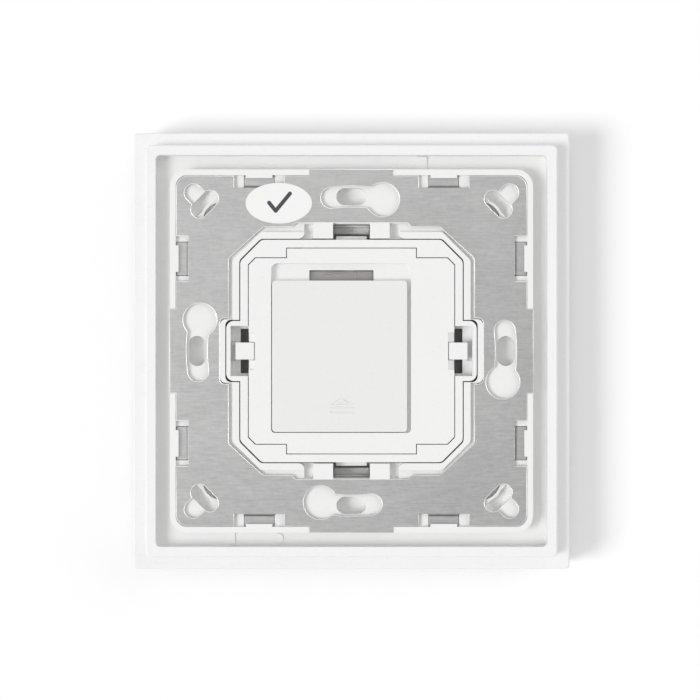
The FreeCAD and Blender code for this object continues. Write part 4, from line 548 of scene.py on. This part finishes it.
def edge_roll_tree(material):
    group = bpy.data.node_groups.new("edge_roll", "GeometryNodeTree")
    tree = Tree(group)
    group.interface.new_socket("Geometry", in_out="INPUT", socket_type="NodeSocketGeometry")
    for name, value in ROLL_INPUTS.items():
        socket = group.interface.new_socket(name, in_out="INPUT", socket_type="NodeSocketFloat")
        socket.default_value = value
    group.interface.new_socket("Geometry", in_out="OUTPUT", socket_type="NodeSocketGeometry")
    source = tree.node("NodeGroupInput", out="Geometry")
    level, radius, angle, bend = [tree.other(source, name) for name in ROLL_INPUTS]
    position = tree.node("GeometryNodeInputPosition")
    height = tree.node("ShaderNodeSeparateXYZ", inputs={0: position}, out="Z")
    corner = tree.node("GeometryNodeInputMeshEdgeAngle", out="Unsigned Angle")
    reach = abs(tree.other(height, "X")).most(abs(tree.other(height, "Y")))
    at_level = abs(height - level) < LEVEL_PLAY
    off_bend = abs(reach - bend) > BEND_PLAY
    turned = (corner > angle) * off_bend
    chosen = tree.node("FunctionNodeBooleanMath", {"operation": "AND"}, {0: at_level, 1: turned})
    curves = tree.node("GeometryNodeMeshToCurve", inputs={"Mesh": source, "Selection": chosen})
    ring = tree.node("GeometryNodeCurvePrimitiveCircle", {"mode": "RADIUS"},
                     {"Resolution": RING_CORNERS, "Radius": radius})
    rolled = tree.node("GeometryNodeCurveToMesh", inputs={"Curve": curves, "Profile Curve": ring})
    smooth = tree.node("GeometryNodeSetShadeSmooth", inputs={"Geometry": rolled})
    whole = tree.node("GeometryNodeRealizeInstances", inputs={"Geometry": smooth})
    dressed = tree.node("GeometryNodeSetMaterial", inputs={"Geometry": whole, "Material": material})
    tree.node("NodeGroupOutput", inputs={"Geometry": dressed})
    return group


# %% Turn a geometry tree's result into a plain mesh
def grown_mesh(host, group, sizes, name):
    """Run the tree on an object and keep only what it makes."""
    modifier = host.modifiers.new("grow", "NODES")
    modifier.node_group = group
    sockets = {item.name: item.identifier for item in group.interface.items_tree
               if item.in_out == "INPUT"}
    for label, value in sizes.items():
        modifier[sockets[label]] = value
    bpy.context.view_layer.update()
    evaluated = host.evaluated_get(bpy.context.evaluated_depsgraph_get())
    mesh = bpy.data.meshes.new_from_object(evaluated)
    host.modifiers.remove(modifier)
    bpy.data.objects.remove(host)
    print(name, "triangles", sum(len(face.vertices) - 2 for face in mesh.polygons))
    return add_object(name, mesh)


# %% Roll the plate's edges
ROLL_RADIUS = 0.085 * MM
ROLL_SINK = 0.4    # how deep the roll sits in the sheet, as a share of its radius
BEND_LINE = 31.925 * MM
# Painted highlight: the roll's tint is far lighter than the plate's, though it is the same steel.
roll_highlight_steel = brushed_sheet("roll_highlight_steel", (0.84, 0.84, 0.835), 6.0, 0.001, 0.03)
plate_roll = grown_mesh(merged_copy("plate_copy", "mounting_plate"), edge_roll_tree(roll_highlight_steel),
                        {"Level": PLATE_REAR, "Roll Radius": ROLL_RADIUS, "Bend Line": BEND_LINE},
                        "plate_edge_roll")
plate_roll.data.transform(Matrix.Translation((0, 0, -ROLL_RADIUS * ROLL_SINK)))
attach(plate_roll, WHOLE)

# %% [markdown]
# ## Bends of the tongues
#
# The eight tongues are pressed down from the sheet, so each leaves it over a bend. From straight
# above, a sharp step would show nothing, while a bend is a narrow band that is bright where it
# faces the lamp and dark where it turns away. A modifier that bends a strip would need its own
# guides. It is simpler to work out the profile, an S-curve from the sheet's level to the
# tongue's, and to sweep it over the tongue's width.

# %% Turn a built mesh into a piece
def turned_about_axis(angle):
    return Matrix.Rotation(angle, 4, "Z")


def corner_point(work, turn, x, y, z):
    """A vertex at a place in millimetres, turned about the switch's axis."""
    return work.verts.new(turn @ Vector((x, y, z)) * MM)


def finished_piece(name, work, material, body=WHOLE):
    """Turn a built bmesh into a piece that rides on a body."""
    bmesh.ops.recalc_face_normals(work, faces=work.faces)
    mesh = bpy.data.meshes.new(name)
    work.to_mesh(mesh)
    work.free()
    mesh.materials.append(material)
    piece = add_object(name, mesh)
    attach(piece, body)
    print(name, len(mesh.polygons), "faces")


# %% Press the bends
BEND_RUN = 0.55
BEND_DROP = 0.75
BEND_SKIN = 0.2
BEND_LIFT = 0.01    # keeps the bend's start just above the sheet
BEND_STEPS = 8
TONGUE_PITCH = 18.1
TONGUE_HALVES = (2.9, 3.25, 2.9, 3.25)


def add_bend(work, quarter, offset, half):
    """One bend at the upper edge, turned by quarters of a circle."""
    turn = turned_about_axis(quarter * math.pi / 2)
    rows = []
    for i in range(BEND_STEPS + 1):
        share = i / BEND_STEPS
        run = BEND_LINE / MM + BEND_RUN * share
        top = PLATE_REAR / MM - BEND_DROP * share * share * (3 - 2 * share) + BEND_LIFT
        bottom = top - BEND_SKIN
        section = ((-half, top), (half, top), (half, bottom), (-half, bottom))
        rows.append([corner_point(work, turn, offset + x, run, z) for x, z in section])
    for near, far in zip(rows, rows[1:]):
        for i in range(4):
            j = (i + 1) % 4
            work.faces.new((near[i], near[j], far[j], far[i]))
    work.faces.new(rows[0][::-1])
    work.faces.new(rows[-1])


bends = bmesh.new()
for quarter, half in enumerate(TONGUE_HALVES):
    for side in (-1, 1):
        add_bend(bends, quarter, side * TONGUE_PITCH, half)
finished_piece("tongue_bends", bends, plate_steel)

# %% [markdown]
# ## Ribs in the corner wells
#
# Under each corner slot the carrier has a well, and at its inner side an arched rib with a
# narrow pocket behind it. The solid has a straight slot there. A boolean cut would change the
# solid, so the rib fills this slot's outer corners instead, and its edge becomes an arch, while a
# floor closes the pocket. Both are prisms: the outline in plan, worked out from the arch's
# radius, is lifted between two heights.

# %% Mould the ribs
PLATE_THICK = 0.7
PLATE_FRONT = PLATE_REAR / MM - PLATE_THICK
SLOT_INNER, SLOT_OUTER, SLOT_HALF = 38.975, 39.775, 2.085
ARCH_RADIUS, ARCH_WIDTH, ARCH_TOP = 3.457, 0.5, 39.8
ARCH_MIDDLE = ARCH_TOP - ARCH_RADIUS
ARCH_STEPS = 12
RIB_DEPTH, POCKET_DEPTH = 2.4, 1.5
RIB_CLEAR, RIB_OVERLAP = 0.02, 0.01


def arch(across, radius):
    """How far out an arch of a radius stands, at a distance from the diagonal."""
    return ARCH_MIDDLE + math.sqrt(radius * radius - across * across)


def add_prism(work, turn, inner, outer, bottom, top):
    """A prism between two rows of (out, across) points."""
    inner_low, inner_high, outer_low, outer_high = [
        [corner_point(work, turn, out, across, z) for out, across in row]
        for row in (inner, outer) for z in (bottom, top)]
    around = (inner_low, inner_high, outer_high, outer_low)
    for near, far in zip(around, around[1:] + around[:1]):
        for i in range(len(inner) - 1):
            work.faces.new((near[i], near[i + 1], far[i + 1], far[i]))
    for i in (0, -1):
        work.faces.new([row[i] for row in around])


ribs = bmesh.new()
spread = [SLOT_HALF * (2 * i / ARCH_STEPS - 1) for i in range(ARCH_STEPS + 1)]
arch_inner = [(arch(across, ARCH_RADIUS), across) for across in spread]
arch_outer = [(max(arch(across, ARCH_RADIUS + ARCH_WIDTH), SLOT_OUTER + RIB_OVERLAP), across)
              for across in spread]
pocket_side = [(SLOT_INNER, across) for across in spread]
rib_foot = PLATE_FRONT - RIB_DEPTH
for corner in range(4):
    turn = turned_about_axis(math.pi / 4 + corner * math.pi / 2)
    add_prism(ribs, turn, arch_inner, arch_outer, rib_foot, PLATE_FRONT - RIB_CLEAR)
    add_prism(ribs, turn, pocket_side, arch_inner, rib_foot, PLATE_FRONT - POCKET_DEPTH)
finished_piece("corner_ribs", ribs, carrier_white)

# %% [markdown]
# ## Webs behind the latches
#
# Between the two latch fingers above and below the module, the photograph looks down on a grey
# ledge of the carrier with a black gap in front of it. A block would do for the ledge, but its
# top falls away in a fillet where it meets the wall, so it is an extrusion of one profile. A
# small gate mark in its middle is a second one.

# %% Mould the webs
WEB_HALF, GATE_HALF = 3.45, 0.12
WEB_PROFILE = ((24.8, 7.9), (24.8, 10.1), (24.55, 10.0), (24.45, 8.75), (24.2, 8.56), (23.25, 8.5),
               (23.1, 8.35), (23.1, 7.9))
GATE_PROFILE = ((24.3, 8.4), (24.3, 8.85), (24.1, 8.95), (23.8, 8.9), (23.7, 8.4))


def add_extrusion(work, turn, profile, half):
    """A profile of (up, height) points, extruded to both sides of the centre line."""
    ends = [[corner_point(work, turn, x, up, z) for up, z in profile] for x in (-half, half)]
    for i in range(len(profile)):
        j = (i + 1) % len(profile)
        work.faces.new((ends[0][i], ends[0][j], ends[1][j], ends[1][i]))
    for end in ends:
        work.faces.new(end)


webs = bmesh.new()
for half_turn in (0, math.pi):
    turn = turned_about_axis(half_turn)
    add_extrusion(webs, turn, WEB_PROFILE, WEB_HALF)
    add_extrusion(webs, turn, GATE_PROFILE, GATE_HALF)
finished_piece("latch_webs", webs, carrier_white)

# %% [markdown]
# ## Marks on the keys
#
# The keys face down and nothing of them shows here, but a switch's keys carry the two oldest signs
# there are: a bar for on and a ring for off. A mask in the keys' finish would do, but the frame
# shares that finish. So each is a print 0.02 mm thick, cut from a flat outline, and half of it
# stands in front of the key.

# %% Make the printed marks
INK_THICK = 0.02


def printed_ink(name):
    finish = Finish(name, IOR=1.5)
    patchy = finish.noise(4.0, detail=4)
    finish.set("Base Color", finish.mix(patchy, (0.3, 0.3, 0.31, 1.0), (0.36, 0.36, 0.37, 1.0)))
    finish.set("Roughness", patchy * 0.15 + 0.45)
    finish.bump(patchy, 0.002)
    return finish.material


ink_grey = printed_ink("ink_grey")


def flat_print(name, outer, inner, body):
    """A thin print between two closed outlines of points in millimetres, on the front of a key."""
    work = bmesh.new()
    count = len(outer)
    front_out, front_in, back_out, back_in = [
        [work.verts.new((x * MM, y * MM, z * MM)) for x, y in points]
        for z in (-INK_THICK / 2, INK_THICK / 2) for points in (outer, inner)]
    for i in range(count):
        j = (i + 1) % count
        work.faces.new((front_out[j], front_out[i], front_in[i], front_in[j]))
        work.faces.new((back_out[i], back_out[j], back_in[j], back_in[i]))
        work.faces.new((front_out[i], front_out[j], back_out[j], back_out[i]))
        work.faces.new((front_in[j], front_in[i], back_in[i], back_in[j]))
    finished_piece(name, work, ink_grey, body)


# %% Print a ring and a bar
MARK_Y, MARK_HALF = 21.0, 1.5
RING_HOLE, RING_STEPS = 1.2, 48
BAR_HALF = 0.18
BAR_CORE = (0.05, 0.9)    # inner outline of the bar, as shares of its width and height


def circle(radius):
    angles = [2 * math.pi * i / RING_STEPS for i in range(RING_STEPS)]
    return [(radius * math.cos(angle), -MARK_Y + radius * math.sin(angle)) for angle in angles]


bar = [(x * BAR_HALF, y * MARK_HALF) for x, y in ((-1, -1), (1, -1), (1, 1), (-1, 1))]
bar_outer = [(x, MARK_Y + y) for x, y in bar]
bar_inner = [(x * BAR_CORE[0], MARK_Y + y * BAR_CORE[1]) for x, y in bar]
flat_print("mark_off", circle(MARK_HALF), circle(RING_HOLE), "key_lower")
flat_print("mark_on", bar_outer, bar_inner, "key_upper")
print("marks at", MARK_Y, "mm")

# %% [markdown]
# ## Table, light and surroundings
#
# The photograph is a catalogue picture: a white table, a soft lamp on the left, a faint reflector
# on the right, and white all round. Area lamps near the object would light it unevenly, so each
# lamp is a sun with a wide disc, whose size sets how soft the shadow's edge is. The rest is an
# even world, but metal mirrors a room that is brighter on the lamp's side. The table is white
# paint. To the camera, and in mirrors and glass, it shines a little by itself, so that it reads as
# pure white while it still holds the shadow and adds no light to the object.

# %% Lay the table
TABLE_HALF = 3.0


def table_white(name, glow=0.035, colour=0.95):
    finish = Finish(name, Roughness=0.9)
    path = finish.node("ShaderNodeLightPath", out="Is Camera Ray")
    mirrored, through = [finish.other(path, "Is %s Ray" % kind) for kind in ("Glossy", "Transmission")]
    finish.set("Base Color", (colour, colour, colour, 1.0))
    finish.set("Emission Color", (1.0, 1.0, 1.0, 1.0))
    finish.set("Emission Strength", path.most(mirrored).most(through) * glow)
    finish.set("Specular IOR Level", 0.0)
    return finish.material


table_corners = [(x * TABLE_HALF, y * TABLE_HALF, 0) for x, y in ((-1, -1), (1, -1), (1, 1), (-1, 1))]
table_mesh = bpy.data.meshes.new("table")
table_mesh.from_pydata(table_corners, [], [(0, 1, 2, 3)])
table_mesh.materials.append(table_white("table_white"))
add_object("table", table_mesh)
print("table %.0f m wide" % (TABLE_HALF * 2))


# %% Hang the lamps
def hang_lamp(name, height, turn, energy, disc):
    """A far lamp whose light comes down at an angle, travelling in the direction of a turn."""
    height, turn = math.radians(height), math.radians(turn)
    level = math.cos(height)
    travel = Vector((level * math.cos(turn), level * math.sin(turn), -math.sin(height)))
    data = bpy.data.lights.new(name, "SUN")
    data.energy = energy
    data.angle = math.radians(disc)
    add_object(name, data).rotation_euler = travel.to_track_quat("-Z", "Y").to_euler()


hang_lamp("soft_lamp", height=47, turn=17, energy=1.45, disc=24)
hang_lamp("reflector", height=30, turn=205, energy=0.55, disc=60)
print("lamps 2")

# %% Surround it with white
FILL = 0.6
MIRROR_LEVEL = 0.95
MIRROR_LEAN = 0.15
LAMP_SIDE = (-0.9, -0.3, 0.0)
world = bpy.data.worlds.new("studio")
bpy.context.scene.world = world
world.use_nodes = True
sky = Tree(world.node_tree)
background = world.node_tree.nodes["Background"]
path = sky.node("ShaderNodeLightPath", out="Is Camera Ray")
seen = path.most(sky.other(path, "Is Transmission Ray"))
mirrored = sky.other(path, "Is Glossy Ray")
direction = sky.node("ShaderNodeTexCoord", out="Generated")
lean = sky.node("ShaderNodeVectorMath", {"operation": "DOT_PRODUCT"},
                {0: direction, 1: LAMP_SIDE}, "Value")
sky.plug(background.inputs["Color"], (1.0, 1.0, 1.0, 1.0))
sky.plug(background.inputs["Strength"],
         seen * (1.0 - FILL) + mirrored * (lean * MIRROR_LEAN + (MIRROR_LEVEL - FILL)) + FILL)
bpy.context.scene.view_settings.view_transform = "Standard"
print("world %.2f, mirrored %.2f" % (FILL, MIRROR_LEVEL))
